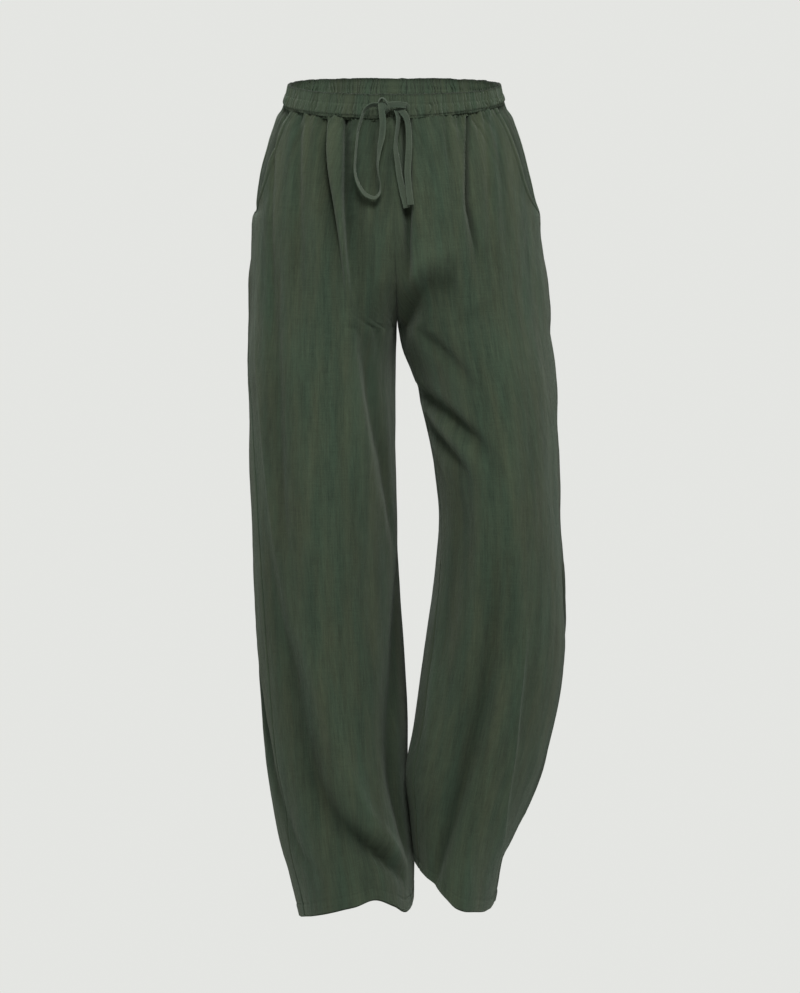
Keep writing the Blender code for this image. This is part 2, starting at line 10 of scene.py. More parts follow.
import bpy
import numpy as np
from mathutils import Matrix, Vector


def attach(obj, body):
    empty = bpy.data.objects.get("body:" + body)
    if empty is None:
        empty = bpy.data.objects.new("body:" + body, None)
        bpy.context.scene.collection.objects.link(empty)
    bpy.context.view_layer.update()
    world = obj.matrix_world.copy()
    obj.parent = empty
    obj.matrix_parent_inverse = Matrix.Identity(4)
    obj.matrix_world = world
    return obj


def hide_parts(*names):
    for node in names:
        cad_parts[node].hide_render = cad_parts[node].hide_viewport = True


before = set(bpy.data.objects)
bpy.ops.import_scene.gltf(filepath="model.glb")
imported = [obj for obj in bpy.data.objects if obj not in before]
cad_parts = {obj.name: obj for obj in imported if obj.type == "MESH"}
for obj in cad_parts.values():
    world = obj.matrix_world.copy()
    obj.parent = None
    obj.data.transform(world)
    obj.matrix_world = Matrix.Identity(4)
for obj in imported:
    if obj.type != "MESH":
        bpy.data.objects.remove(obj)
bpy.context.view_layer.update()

# --- The picture ---------------------------------------------------------------------------------
PHOTO_HEIGHT = 993                      # pixels, the long side
FOCAL_PIXELS = 4800
SENSOR = 36.0                           # millimetres, on the long side
CAMERA_DISTANCE = 6.0
CAMERA_ELEVATION = math.radians(4.0)
CAMERA_AIM = Vector((0.0069, 0.0, -0.4983))

# --- The form, as in the CAD part ----------------------------------------------------------------
BAND_TOP = 0.0155
BAND_BOTTOM = -0.0155
CROTCH = -0.2845
HEM_LEVEL = -1.000
HEM_ZONE = -0.800
HEM_DEPTH = 0.016                       # of the turn-up
TIE_WIDTH = 0.008
TIE_THICKNESS = 0.0012
WAIST_DEPTH = 0.105
WAIST_TILT = 0.0117
WAIST_DIP = 0.0025
TILT_LOW = -0.20
TILT_RUN = 0.17
CENTRE_TOP = -0.0015
CENTRE_LOW = 0.0035
TORSO_POWER = 2.3
LEG_POWER = 2.1
FORK_POWER = 1.60
FORK_FADE = 0.140
FRONT_RISE = 0.110
BACK_RISE = 0.160
SPLIT_ABOVE = 0.060
SPLIT_BELOW = 0.080
CROTCH_REACH = 0.30


def table(columns, *rows):
    """The rows, with their columns named."""
    row_kind = namedtuple("Row", columns)
    return [row_kind(*row) for row in rows]


# Levels of the form, from the top. outer is the x of the outer side, and front and back are the y of the
# middles of the two faces.
OUTLINE = "height outer front back"
RIGHT_OUTLINE = table(
    OUTLINE,
    (0.0155, -0.1315, -0.1050, 0.1050),
    (0.0000, -0.1350, -0.1060, 0.1060),
    (-0.0155, -0.1400, -0.1075, 0.1080),
    (-0.0300, -0.1475, -0.1100, 0.1120),
    (-0.0660, -0.1598, -0.1140, 0.1200),
    (-0.1160, -0.1700, -0.1175, 0.1300),
    (-0.1660, -0.1770, -0.1195, 0.1365),
    (-0.2400, -0.1813, -0.1190, 0.1360),
    (-0.3150, -0.1828, -0.1160, 0.1260),
    (-0.3900, -0.1818, -0.1130, 0.1160),
    (-0.4900, -0.1797, -0.1100, 0.1070),
    (-0.5900, -0.1770, -0.1060, 0.0980),
    (-0.6900, -0.1722, -0.1020, 0.0920),
    (-0.7900, -0.1650, -0.0985, 0.0900),
    (-0.8400, -0.1600, -0.0970, 0.0905),
    (-0.8900, -0.1520, -0.0960, 0.0920),
    (-0.9400, -0.1415, -0.0950, 0.0940),
    (-0.9850, -0.1290, -0.0945, 0.0960),
    (-1.0250, -0.1200, -0.0940, 0.0970),
)
LEFT_OUTLINE = table(
    OUTLINE,
    (0.0155, 0.1312, -0.1050, 0.1050),
    (0.0000, 0.1345, -0.1060, 0.1060),
    (-0.0155, 0.1395, -0.1075, 0.1080),
    (-0.0300, 0.1465, -0.1100, 0.1120),
    (-0.0660, 0.1590, -0.1140, 0.1200),
    (-0.1160, 0.1710, -0.1180, 0.1300),
    (-0.1660, 0.1800, -0.1205, 0.1360),
    (-0.2400, 0.1900, -0.1215, 0.1345),
    (-0.3150, 0.1975, -0.1215, 0.1230),
    (-0.3900, 0.2030, -0.1220, 0.1130),
    (-0.4900, 0.2068, -0.1210, 0.1040),
    (-0.5900, 0.2115, -0.1150, 0.0960),
    (-0.6400, 0.2132, -0.1120, 0.0930),
    (-0.6900, 0.2124, -0.1080, 0.0910),
    (-0.7400, 0.2078, -0.1040, 0.0910),
    (-0.7900, 0.1985, -0.1000, 0.0930),
    (-0.8400, 0.1850, -0.0960, 0.0980),
    (-0.8900, 0.1645, -0.0920, 0.1060),
    (-0.9400, 0.1415, -0.0900, 0.1160),
    (-0.9850, 0.1285, -0.0890, 0.1220),
    (-1.0250, 0.1180, -0.0880, 0.1250),
)

# The leg's inner side, as its x and y, and the turns of the two seams.
FORK = "height inner inner_y inseam side_seam"
RIGHT_FORK = table(
    FORK,
    (CROTCH, 0.0031, 0.012, 0.000, 0.484),
    (-0.3150, 0.0019, 0.009, -0.004, 0.470),
    (-0.3900, 0.0004, 0.006, -0.020, 0.440),
    (-0.4900, 0.0017, 0.004, -0.040, 0.420),
    (-0.5900, 0.0044, 0.004, -0.055, 0.410),
    (-0.6900, 0.0107, 0.008, -0.060, 0.409),
    (-0.7900, 0.0160, 0.020, -0.060, 0.409),
    (-0.8400, 0.0166, 0.026, -0.060, 0.410),
    (-0.8900, 0.0205, 0.028, -0.060, 0.412),
    (-0.9400, 0.0243, 0.028, -0.060, 0.415),
    (-1.0250, 0.0245, 0.022, -0.060, 0.420),
)
LEFT_FORK = table(
    FORK,
    (CROTCH, 0.0039, 0.012, 0.000, 0.484),
    (-0.3150, 0.0108, 0.008, 0.003, 0.490),
    (-0.3400, 0.0214, 0.004, 0.008, 0.496),
    (-0.3900, 0.0356, 0.000, 0.018, 0.508),
    (-0.4400, 0.0458, -0.006, 0.030, 0.520),
    (-0.5150, 0.0545, -0.010, 0.048, 0.532),
    (-0.5900, 0.0507, -0.010, 0.062, 0.544),
    (-0.6900, 0.0372, -0.014, 0.074, 0.554),
    (-0.7900, 0.0232, -0.028, 0.076, 0.556),
    (-0.8400, 0.0140, -0.034, 0.075, 0.555),
    (-0.8900, 0.0190, -0.032, 0.072, 0.552),
    (-0.9400, 0.0237, -0.020, 0.068, 0.548),
    (-1.0250, 0.0350, 0.000, 0.064, 0.544),
)

# The hems' edges, over one turn of the leg.
RIGHT_HEM = table(
    "turn height",
    (0.000, -1.001), (0.040, -1.013), (0.080, -1.016), (0.136, -1.004), (0.190, -0.9935),
    (0.250, -1.001), (0.336, -1.012), (0.414, -1.020), (0.500, -1.026), (0.620, -1.018),
    (0.750, -1.012), (0.900, -1.006), (1.000, -0.998),
)
LEFT_HEM = table(
    "turn height",
    (0.000, -0.951), (0.085, -0.965), (0.148, -0.978), (0.195, -0.990), (0.245, -1.003),
    (0.276, -1.007), (0.326, -1.0095), (0.400, -1.013), (0.500, -1.011), (0.620, -1.005),
    (0.750, -0.992), (0.870, -0.972), (1.000, -0.951),
)

# The pocket's slanted mouth, from the band down. Its facing starts a little way under the front.
POCKET_MOUTH = table(
    "height turn",
    (-0.0159, 0.414), (-0.0720, 0.419), (-0.1060, 0.427), (-0.1340, 0.456), (-0.1460, 0.484),
)
POCKET_LOW = -0.162
POCKET_TUCK = 0.035

# Stops on the tie's routes, with the tape's twist in degrees.
STOP = "x y z twist"
LOOP_ROUTE = table(
    STOP,
    (-0.0195, -0.1150, -0.0118, 40), (-0.0268, -0.1162, -0.0118, 52), (-0.0325, -0.1170, -0.0142, 60),
    (-0.0368, -0.1176, -0.0190, 64), (-0.0394, -0.1180, -0.0265, 66), (-0.0420, -0.1184, -0.0350, 66),
    (-0.0446, -0.1188, -0.0450, 68), (-0.0461, -0.1192, -0.0600, 70), (-0.0474, -0.1198, -0.0750, 70),
    (-0.0482, -0.1204, -0.0900, 70), (-0.0462, -0.1208, -0.1020, 68), (-0.0415, -0.1212, -0.1125, 64),
    (-0.0340, -0.1214, -0.1215, 60), (-0.0240, -0.1216, -0.1245, 62), (-0.0180, -0.1214, -0.1190, 72),
    (-0.0172, -0.1212, -0.1090, 80), (-0.0194, -0.1208, -0.0980, 80), (-0.0204, -0.1202, -0.0860, 74),
    (-0.0194, -0.1196, -0.0750, 64), (-0.0178, -0.1190, -0.0640, 48), (-0.0152, -0.1184, -0.0500, 24),
    (-0.0140, -0.1182, -0.0340, 8), (-0.0150, -0.1184, -0.0220, 4), (-0.0158, -0.1182, -0.0140, 2),
    (-0.0161, -0.1160, -0.0080, 0),
)
RIGHT_TAIL_ROUTE = table(
    STOP,
    (0.0022, -0.1150, -0.0160, 20), (0.0038, -0.1168, -0.0205, 36), (0.0047, -0.1174, -0.0260, 48),
    (0.0046, -0.1178, -0.0325, 54), (0.0038, -0.1182, -0.0400, 56), (0.0028, -0.1185, -0.0480, 56),
    (0.0018, -0.1188, -0.0560, 58), (0.0017, -0.1192, -0.0650, 48), (0.0026, -0.1195, -0.0740, 42),
    (0.0040, -0.1198, -0.0830, 38), (0.0052, -0.1201, -0.0920, 32), (0.0068, -0.1204, -0.1010, 26),
    (0.0086, -0.1207, -0.1100, 20), (0.0106, -0.1210, -0.1190, 16), (0.0130, -0.1213, -0.1285, 12),
    (0.0152, -0.1216, -0.1370, 10),
)
LEFT_TAIL_ROUTE = table(
    STOP,
    (0.0046, -0.1160, -0.0160, 0), (0.0085, -0.1182, -0.0185, 6), (0.0122, -0.1190, -0.0228, 16),
    (0.0147, -0.1192, -0.0275, 28), (0.0163, -0.1194, -0.0335, 34),
    (0.0172, -0.1197, -0.0400, 34), (0.0177, -0.1202, -0.0480, 28), (0.0179, -0.1206, -0.0570, 20),
    (0.0177, -0.1210, -0.0670, 14), (0.0172, -0.1214, -0.0760, 12), (0.0166, -0.1218, -0.0850, 10),
    (0.0163, -0.1222, -0.0930, 8), (0.0166, -0.1226, -0.1010, 8), (0.0172, -0.1230, -0.1090, 8),
    (0.0180, -0.1234, -0.1170, 8), (0.0190, -0.1238, -0.1255, 6), (0.0200, -0.1241, -0.1335, 4),
)
# The knot's strands: the arch over the first buttonhole that crosses to the second, the wrap round it,
# and the turned end in front.
Strand = namedtuple("Strand", "width route")
KNOT_STRANDS = [
    Strand(0.0050, table(
        STOP,
        (-0.0192, -0.1120, -0.0110, 70), (-0.0190, -0.1160, -0.0078, 74), (-0.0174, -0.1184, -0.0046, 76),
        (-0.0148, -0.1192, -0.0034, 78), (-0.0120, -0.1192, -0.0046, 74), (-0.0094, -0.1190, -0.0078, 64),
        (-0.0068, -0.1186, -0.0108, 45), (-0.0040, -0.1172, -0.0128, 20), (-0.0015, -0.1145, -0.0138, 0),
    )),
    Strand(0.0062, table(
        STOP,
        (-0.0084, -0.1140, -0.0088, 0), (-0.0087, -0.1180, -0.0102, 0), (-0.0088, -0.1196, -0.0132, 0),
        (-0.0085, -0.1192, -0.0165, 0), (-0.0078, -0.1170, -0.0190, 0), (-0.0070, -0.1140, -0.0200, 0),
    )),
    Strand(0.0076, table(
        STOP,
        (-0.0112, -0.1158, -0.0128, 0), (-0.0066, -0.1192, -0.0119, 3), (-0.0012, -0.1210, -0.0112, 4),
        (0.0044, -0.1216, -0.0112, 4), (0.0090, -0.1212, -0.0117, 3), (0.0126, -0.1200, -0.0123, 0),
        (0.0144, -0.1176, -0.0127, 0), (0.0138, -0.1150, -0.0130, 0),
    )),
]
Slot = namedtuple("Slot", "s level wide high")      # places on the band, from its centre front
BUTTONHOLES = (Slot(-0.0150, 0.0080, 0.0017, 0.0030), Slot(0.0140, -0.0040, 0.0015, 0.0030))
HOLE_DEPTH = 0.0022

# --- Fineness of the cloth -----------------------------------------------------------------------
CLOTH = 0.0008                          # thickness of one layer of linen
FRONT_COLUMNS = 262
BACK_COLUMNS = 176
TOP_ROW_STEP = 0.0022                   # rows in the gathered zone
LEG_ROW_STEP = 0.0085                   # and below it
CLOSER = 1.4                            # how much closer columns stand at a sharp fold
CLOSER_REACH = 0.008                    # and how far from it
TOP_ZONE = -0.150
EDGE_OFFSETS = (0.0, 0.0004, 0.0009, 0.0016, 0.0026, 0.0040)   # close columns along a seam
PANEL_SPOTS = 400                       # where a row's crowding is read
SEAM_DEPTH = 0.0011
SEAM_WIDTH = 0.0011
BAND_COLUMNS = 1500

# --- Outline -------------------------------------------------------------------------------------
# How far the cloth stands out of the plain form along the outer side, in millimetres. The step under
# -0.142 is where the pocket's lower end is caught in the side seam.
SIDE_TRIM = table(
    "height right left",
    (-0.0155, 1.0, 0.5), (-0.0215, 2.4, 2.0), (-0.0366, 1.3, 1.9), (-0.0667, 1.1, 2.9),
    (-0.0967, 2.5, 3.2), (-0.1118, 1.8, 3.5), (-0.1268, 0.8, 3.6), (-0.1330, 0.2, 4.2),
    (-0.1410, -0.9, 5.6), (-0.1455, 1.2, 6.1), (-0.1500, 2.3, 6.1), (-0.1569, 2.2, 5.3),
    (-0.1650, 1.1, 3.6), (-0.1719, 0.4, 2.8), (-0.1870, 0.0, 2.1), (-0.2020, -0.4, 2.0),
    (-0.2170, 1.0, 3.5), (-0.2470, -0.2, 3.3), (-0.2770, -0.9, 1.8), (-0.2920, -0.4, -0.8),
    (-0.3070, -0.2, 0.2), (-0.3370, 0.5, 2.4), (-0.3520, 0.5, 2.9), (-0.3670, -0.4, 2.7),
    (-0.3970, -1.5, 0.6), (-0.4120, -1.2, 0.0), (-0.4275, 0.0, 0.6), (-0.4575, 0.7, 1.0),
    (-0.4880, 0.4, 1.1), (-0.5330, 0.6, -0.2), (-0.5630, 1.2, 0.6), (-0.5930, 1.8, 2.0),
    (-0.6380, 2.1, 2.5), (-0.6680, 2.5, 3.4), (-0.6830, 3.0, 3.2), (-0.7130, 3.5, 0.6),
    (-0.7430, 2.7, -0.2), (-0.8180, 1.7, 0.0), (-0.8480, 1.3, 2.1), (-0.8785, 0.8, 5.0),
    (-0.9240, 0.0, 5.2), (-0.9400, -0.4, 4.0), (-0.9540, -0.7, 1.0), (-0.9690, -1.3, 1.6),
    (-0.9840, -0.7, 3.4), (-1.0000, -0.4, 5.0),
)
TRIM_REACH = 0.060                      # of a turn, to either side of the outer side
# How far the seam under the band runs above the level, in millimetres.
SEAM_RISE = table(
    "turn right left",
    (0.00, 1.5, 1.5), (0.12, 1.8, 2.2), (0.20, 2.4, 3.2), (0.28, 2.8, 5.2), (0.36, 3.0, 7.0),
    (0.44, 3.4, 8.0), (0.50, 5.0, 8.0), (0.58, 4.0, 5.0), (0.75, 1.0, 1.0), (1.00, 0.0, 0.0),
)
SEAM_REACH = 0.032                      # how far under the seam the cloth follows it
CHANNEL = 0.0035                        # height of the band's faint middle row of stitches

# --- Folds ---------------------------------------------------------------------------------------
# Each fold is a line of bends from its upper end to its lower end, in millimetres. x and z are where it
# shows from the front or back; side folds give a turn in place of x. depth is how far the cloth goes in,
# and below zero it is a ridge. left and right are the widths of its two slopes, as seen from outside, and
# a bend with one width has it on both. sharp is the slopes' power: 1 is a crease with an edge, and 2 is a
# soft one. over is how far the steep slope's upper edge laps over the crease.
MM = 0.001
Bend = namedtuple("Bend", "x z depth left right")
Fold = namedtuple("Fold", "sharp bends over")


def fold(sharp, *bends, over=0.0):
    """A fold from its bends, each with one width or two."""
    return Fold(sharp, [Bend(*bend[:4], bend[-1]) for bend in bends], over)


RIGHT_FRONT_FOLDS = [
    # The two deep tucks of the right front, with the flap between them.
    fold(1.4, (-84, -14, 8, 6, 2.2), (-84, -45, 15, 10, 2.2), (-83.5, -77, 19, 12, 2.6),
         (-79, -120, 17, 13, 3), (-72.5, -169, 12, 11, 3.5), (-66, -218, 7, 11, 5), (-60, -268, 0, 11, 8),
         over=5.0),
    fold(1.4, (-62, -14, 8, 2.2, 6), (-62.5, -50, 13, 2.2, 9), (-62, -118, 17, 2.6, 13),
         (-58, -172, 13, 3.2, 14), (-53.5, -215, 9, 4.5, 14), (-49, -255, 5, 7, 13), (-45, -300, 0, 9, 12),
         over=5.0),
    fold(2.0, (-73, -14, -1, 5, 7), (-73, -60, -3, 6, 9), (-71, -105, -3, 7, 9), (-66, -156, -4, 9),
         (-58, -222, -5, 13, 9), (-53.5, -275, -4, 16, 10), (-49, -330, -4, 22, 12), (-42, -390, -4, 27, 13),
         (-34, -450, -3, 26, 13), (-20, -512, -1, 20, 12), (-10, -560, 0, 18, 12)),
    # The darker hollow along the ridge's inner side.
    fold(2.0, (-48, -245, 0, 8, 10), (-42, -292, 3, 11, 14), (-35, -340, 6, 13, 17), (-27, -395, 7, 14, 17),
         (-16, -450, 6, 13), (-8, -515, 4, 11, 10), (-2, -570, 0, 9)),
    # Shade between the tucks and the centre seam, and the hollows behind the tie.
    fold(2.0, (-44, -14, 3, 6), (-43, -70, 4, 8), (-42, -150, 5, 10, 9), (-39, -210, 5, 10, 9),
         (-36, -265, 3, 10, 9), (-32, -320, 0, 9)),
    fold(1.6, (-24, -14, 5, 4), (-25, -60, 8, 6, 5), (-25, -100, 8, 7, 6), (-24, -140, 4, 7),
         (-22, -175, 0, 7)),
    fold(1.6, (-6, -26, 0, 3, 2.6), (-6, -60, 5, 3.6, 3), (-6, -120, 4, 4, 3.6), (-6, -160, 2, 4.5, 4),
         (-6, -200, 0, 5)),
    fold(2.0, (-5, -17, -3, 5), (-5, -32, -3.5, 5), (-5, -52, 0, 5)),
    # The crease beside the right pocket's stitching.
    fold(1.5, (-137, -26, 1.5, 2.4), (-147, -72, 3.0, 2.8, 3), (-149, -99, 3.4, 3, 4),
         (-151, -149, 3.8, 4, 5), (-151, -205, 3.4, 5, 6), (-151, -280, 3, 6), (-150, -350, 0, 6)),
    fold(1.8, (-31, -150, 0, 7), (-28, -205, 5, 8), (-25, -250, 5, 8, 9), (-22, -290, 4, 9, 10),
         (-20, -335, 0, 9, 10)),
    fold(1.8, (-118, -14, 3, 5), (-119, -60, 6, 6), (-118, -128, 6, 7), (-117, -190, 4, 7, 8),
         (-116, -260, 0, 8)),
    fold(1.8, (-104, -14, 2, 4), (-105, -60, 2, 5, 6), (-103, -120, 0, 6, 7)),
    fold(2.0, (-97, -90, 0, 6), (-95, -150, -2.5, 7), (-90, -220, -2, 8), (-86, -268, 0, 8)),
    # The long outer hollow that sweeps in to the hem.
    fold(1.7, (-144, -150, 0, 12, 8), (-144, -215, 3, 14, 9), (-144, -300, 6, 15, 9), (-142, -400, 6, 16, 9),
         (-138, -490, 5, 16, 9), (-130, -560, 3, 14, 9), (-118, -620, 0, 12, 9)),
    fold(1.2, (-172, -270, 0, 4, 9), (-169, -320, -2, 4, 9), (-163, -388, -2, 4, 10), (-156, -475, -2, 5, 10),
         (-146, -555, -2, 6, 10), (-136, -620, 0, 6, 9)),
    fold(1.8, (-156, -530, 0, 14, 10), (-149, -590, 4, 18, 12), (-141, -652, 7, 20, 13),
         (-124, -718, 8, 24, 14), (-113, -780, 8, 24, 14), (-95, -850, 11, 24, 14), (-72, -890, 13, 22, 13),
         (-46, -915, 15, 18, 12), (-13, -939, 16, 14, 10), (11, -967, 6, 10, 8)),
    fold(1.8, (-118, -640, 0, 12, 16), (-104, -690, -4, 12, 20), (-84, -765, -5, 12, 18),
         (-60, -832, -6, 12, 13), (-34, -886, -7, 12, 11), (-2, -930, -6, 10, 9), (15, -958, 0, 8)),
    # The dark inner side, which turns away sharply.
    fold(1.8, (4, -540, 0, 14, 13), (2, -646, 6, 20, 14), (1, -728, 9, 27, 14), (-2, -797, 11, 28, 14),
         (1, -850, 12, 24, 13), (8, -895, 9, 18, 11), (15, -940, 3, 9, 8)),
    fold(1.8, (-137, -880, 0, 6, 9), (-128, -918, 3, 6, 10), (-112, -946, 3, 6, 10), (-88, -966, 0, 6, 8)),
    fold(1.8, (-62, -960, 0, 12), (-52, -985, -3, 14), (-44, -1003, -4, 14, 16)),
    # The broad crowns of the thighs.
    fold(2.0, (-92, -250, 0, 16, 14), (-93, -330, -3, 20, 18), (-94, -450, -4, 22, 20),
         (-93, -560, -4, 22, 20), (-88, -660, -2, 20, 18), (-80, -730, 0, 16)),
]
LEFT_FRONT_FOLDS = [
    fold(1.6, (11, -14, 5, 3, 2.6), (12, -60, 9, 4, 3), (12, -115, 9, 4.4, 3.4), (16, -150, 7, 6),
         (17, -190, 7, 6, 7), (16, -225, 5, 7, 8), (12, -258, 0, 8)),
    # The left front: the slit tuck, the step beside the bow and the small gathers.
    fold(1.3, (94, -14, 8, 4, 2.4), (93, -60, 13, 5, 2.4), (92, -127, 14, 5.4, 2.8), (94.5, -152, 11, 6, 4),
         (99, -178, 7, 7, 6), (105, -212, 3, 9), (110, -245, 0, 9), over=4.0),
    fold(1.4, (20.5, -14, 5, 5, 2.2), (21, -60, 8, 6, 2.2), (21, -140, 8, 8, 2.6), (18, -190, 6, 10, 4),
         (15, -240, 0, 9, 5), over=3.0),
    fold(1.5, (63, -14, 2, 3, 2.4), (65, -50, 4, 4, 2.8), (67, -74, 4, 4, 3), (69, -95, 0, 4)),
    fold(1.6, (50, -60, 0, 3), (52, -84, 2, 4, 3), (52, -104, 0, 4)),
    fold(1.8, (35, -14, 1, 4), (34, -60, 1.6, 5, 6), (34, -100, 0, 6, 7)),
    fold(1.8, (82, -14, 3, 4), (82, -50, 4, 5), (79, -90, 2, 6), (77, -150, 0, 6)),
    fold(1.8, (112, -30, 1.5, 4), (115, -90, 3, 6, 5), (119, -160, 2.5, 7, 6), (122, -225, 0, 8, 7)),
    fold(1.5, (104, -10, 4, 2.6, 2.2), (104, -34, 4, 3, 2.6), (106, -62, 0, 4)),
    fold(2.0, (80, -50, 0, 4, 5), (81, -90, -2, 6, 7), (84, -150, -3, 7, 8), (86, -205, 0, 7, 8)),
    fold(1.8, (122, -14, 2, 5), (128, -70, 2, 7), (136, -150, 2, 9), (142, -215, 0, 9)),
    # The groin: the cloth bellies over an arc and turns under it.
    fold(1.8, (96, -190, 0, 15, 9), (72, -192, -3, 15, 9), (46, -199, -5, 15, 9), (26, -216, -4, 12, 8),
         (8, -246, -1, 8, 5)),
    fold(1.9, (80, -228, 0, 8, 9), (73, -230, 5, 11, 17), (62, -232, 11, 17, 32), (46, -236, 14, 17, 38),
         (32, -246, 13, 14, 32), (19, -263, 11, 11, 22), (11, -287, 5, 9, 13)),
    fold(2.0, (24, -288, 0, 10, 9), (38, -298, 4, 11, 10), (57, -314, 6, 12, 11), (76, -333, 6, 12, 11),
         (92, -351, 4, 11, 10), (102, -368, 0, 10)),
    fold(1.8, (70, -192, 0, 8, 4), (72, -213, 4, 11, 4), (73, -238, 4.5, 12, 4.5), (72, -265, 0, 12, 7)),
    fold(2.0, (134, -240, 0, 9, 11), (112, -262, 3, 9, 13), (88, -275, 3, 9, 13), (70, -292, 0, 9, 10)),
    fold(1.4, (100, -285, 0, 3, 4), (104, -325, 2, 3, 5), (107, -372, 2, 3, 5), (108, -410, 0, 3, 4)),
    # The three drag lines at the inner thigh.
    fold(2.5, (21, -354, 3, 10, 8), (35, -370, 7, 12, 10), (54, -386, 10, 14, 11), (72, -400, 12, 15, 11),
         (91, -416, 11, 15, 11), (108, -433, 7, 14, 12), (120, -454, 3, 12), (129, -486, 0, 11, 12)),
    fold(2.4, (40, -404, 3, 10, 6), (53, -422, 7, 12, 7), (66, -438, 8, 13, 8), (80, -456, 5, 12, 9),
         (91, -476, 2.5, 12, 10), (99, -508, 0, 10)),
    fold(1.4, (48, -432, 0, 2), (54, -448, -1.4, 2), (62, -468, -1.2, 2), (70, -490, 0, 2)),
    fold(1.8, (40, -386, 0, 6), (60, -405, -2, 7), (80, -425, -3, 8), (98, -446, -2, 8), (110, -472, 0, 8)),
    fold(2.0, (124, -340, 0, 16), (136, -400, -3, 20), (141, -480, -4, 20), (145, -560, -3, 18),
         (152, -640, -2, 14), (152, -700, 0, 12)),
    fold(2.0, (136, -690, 0, 12), (133, -750, -3, 13, 11), (128, -805, -4, 13, 10), (121, -855, -3, 12, 10),
         (115, -895, 0, 10)),
    # The knee and lower leg.
    fold(1.5, (106, -430, 0, 16, 20), (106, -500, -1.5, 15, 22), (105, -560, -1.5, 14, 22),
         (104, -610, -2, 12, 16), (98, -670, -2, 11, 12), (90, -720, 0, 10, 12)),
    fold(2.0, (66, -440, 0, 16, 20), (78, -490, 6, 24, 22), (80, -550, 7, 26, 22), (73, -610, 5, 22, 20),
         (64, -665, 4, 18), (58, -715, 0, 12, 14)),
    fold(1.8, (127, -545, 0, 12, 10), (124, -608, 6, 13, 12), (120, -672, 9, 15, 14), (110, -740, 12, 19, 15),
         (99, -790, 13, 20, 15), (88, -833, 14, 20, 14), (75, -880, 14, 20, 13), (62, -922, 12, 17, 12),
         (52, -957, 8, 14, 11), (46, -988, 0, 11, 10)),
    fold(1.1, (165, -650, 0, 12, 4), (160, -692, -4, 14, 4), (153, -754, -5, 14, 3.4), (148, -806, -6, 14, 3),
         (141, -850, -6, 13, 3), (136.5, -888, -5, 12, 3), (132.5, -928, -3, 9, 4), (130, -958, 0, 7, 4)),
    fold(1.8, (50, -690, 0, 8, 10), (46, -740, -3, 8, 11), (42, -790, -2, 8, 10), (38, -830, 0, 8, 9)),
    fold(1.8, (98, -900, 0, 12, 14), (88, -950, -4, 12, 16), (84, -1000, -4, 12, 14)),
]
RIGHT_BACK_FOLDS = [
    fold(1.4, (-92, -14, 10, 6, 4), (-94, -60, 11, 7, 4), (-99, -120, 8, 8, 5), (-104, -190, 3, 9, 6),
         (-108, -240, 0, 9, 6)),
    fold(1.4, (-48, -14, 8, 4, 6), (-49, -55, 10, 4, 7), (-52, -110, 6, 5, 9), (-56, -170, 0, 7, 9)),
    fold(1.9, (-14, -236, 2, 8, 14), (-44, -272, 6, 10, 17), (-80, -300, 8, 11, 18), (-118, -322, 5, 11, 16),
         (-146, -340, 0, 10, 13)),
    fold(1.8, (-14, -310, 4, 7, 11), (-36, -342, 7, 9, 14), (-62, -374, 6, 9, 14), (-86, -402, 0, 8, 11)),
    fold(1.8, (-84, -340, 0, 14, 12), (-78, -430, 8, 18, 12), (-74, -560, 10, 19, 11), (-70, -660, 8, 18, 12),
         (-66, -740, 0, 14, 12)),
    fold(1.8, (-126, -300, 0, 14, 12), (-124, -400, 6, 16, 12), (-122, -520, 6, 16, 12), (-118, -600, 0, 12)),
    fold(1.5, (-140, -560, 0, 7, 12), (-118, -680, 10, 8, 18), (-92, -780, 11, 8, 20), (-62, -870, 13, 8, 17),
         (-30, -930, 11, 8, 12), (-6, -966, 0, 7, 9)),
    fold(1.8, (-100, -690, 0, 18, 9), (-76, -780, -6, 18, 9), (-48, -860, -6, 15, 9), (-14, -920, 0, 11, 8)),
    fold(1.6, (-26, -560, 0, 10, 8), (-18, -680, 8, 12, 8), (-12, -790, 8, 12, 8), (-2, -870, 0, 10, 7)),
]
LEFT_BACK_FOLDS = [
    fold(1.4, (86, -14, 10, 4, 6), (88, -60, 11, 4, 7), (94, -125, 8, 5, 8), (101, -200, 0, 6, 9)),
    fold(1.4, (40, -14, 8, 6, 4), (41, -50, 10, 7, 4), (44, -100, 6, 9, 5), (47, -160, 0, 9, 6)),
    fold(1.9, (16, -242, 2, 13, 8), (44, -284, 7, 16, 10), (80, -318, 8, 17, 11), (118, -338, 4, 15, 11),
         (146, -348, 0, 12, 10)),
    fold(1.8, (24, -322, 3, 11, 7), (50, -356, 6, 13, 9), (78, -392, 6, 14, 9), (100, -410, 0, 11, 8)),
    fold(1.8, (104, -350, 0, 12, 14), (114, -440, 8, 12, 18), (124, -560, 10, 11, 19), (132, -660, 8, 12, 18),
         (136, -740, 0, 12, 14)),
    fold(1.8, (152, -310, 0, 12, 14), (164, -400, 6, 12, 16), (170, -510, 6, 12, 16), (172, -590, 0, 12)),
    fold(1.5, (178, -590, 0, 12, 7), (164, -690, 10, 18, 8), (142, -780, 11, 20, 8), (112, -860, 13, 17, 8),
         (86, -916, 10, 12, 8), (66, -950, 0, 9, 7)),
    fold(1.8, (150, -660, 0, 9, 18), (122, -760, -6, 9, 18), (92, -840, -6, 9, 15), (66, -900, 0, 8, 11)),
    fold(1.6, (70, -560, 0, 8, 10), (58, -650, 8, 8, 12), (46, -750, 8, 8, 12), (40, -830, 0, 7, 10)),
]
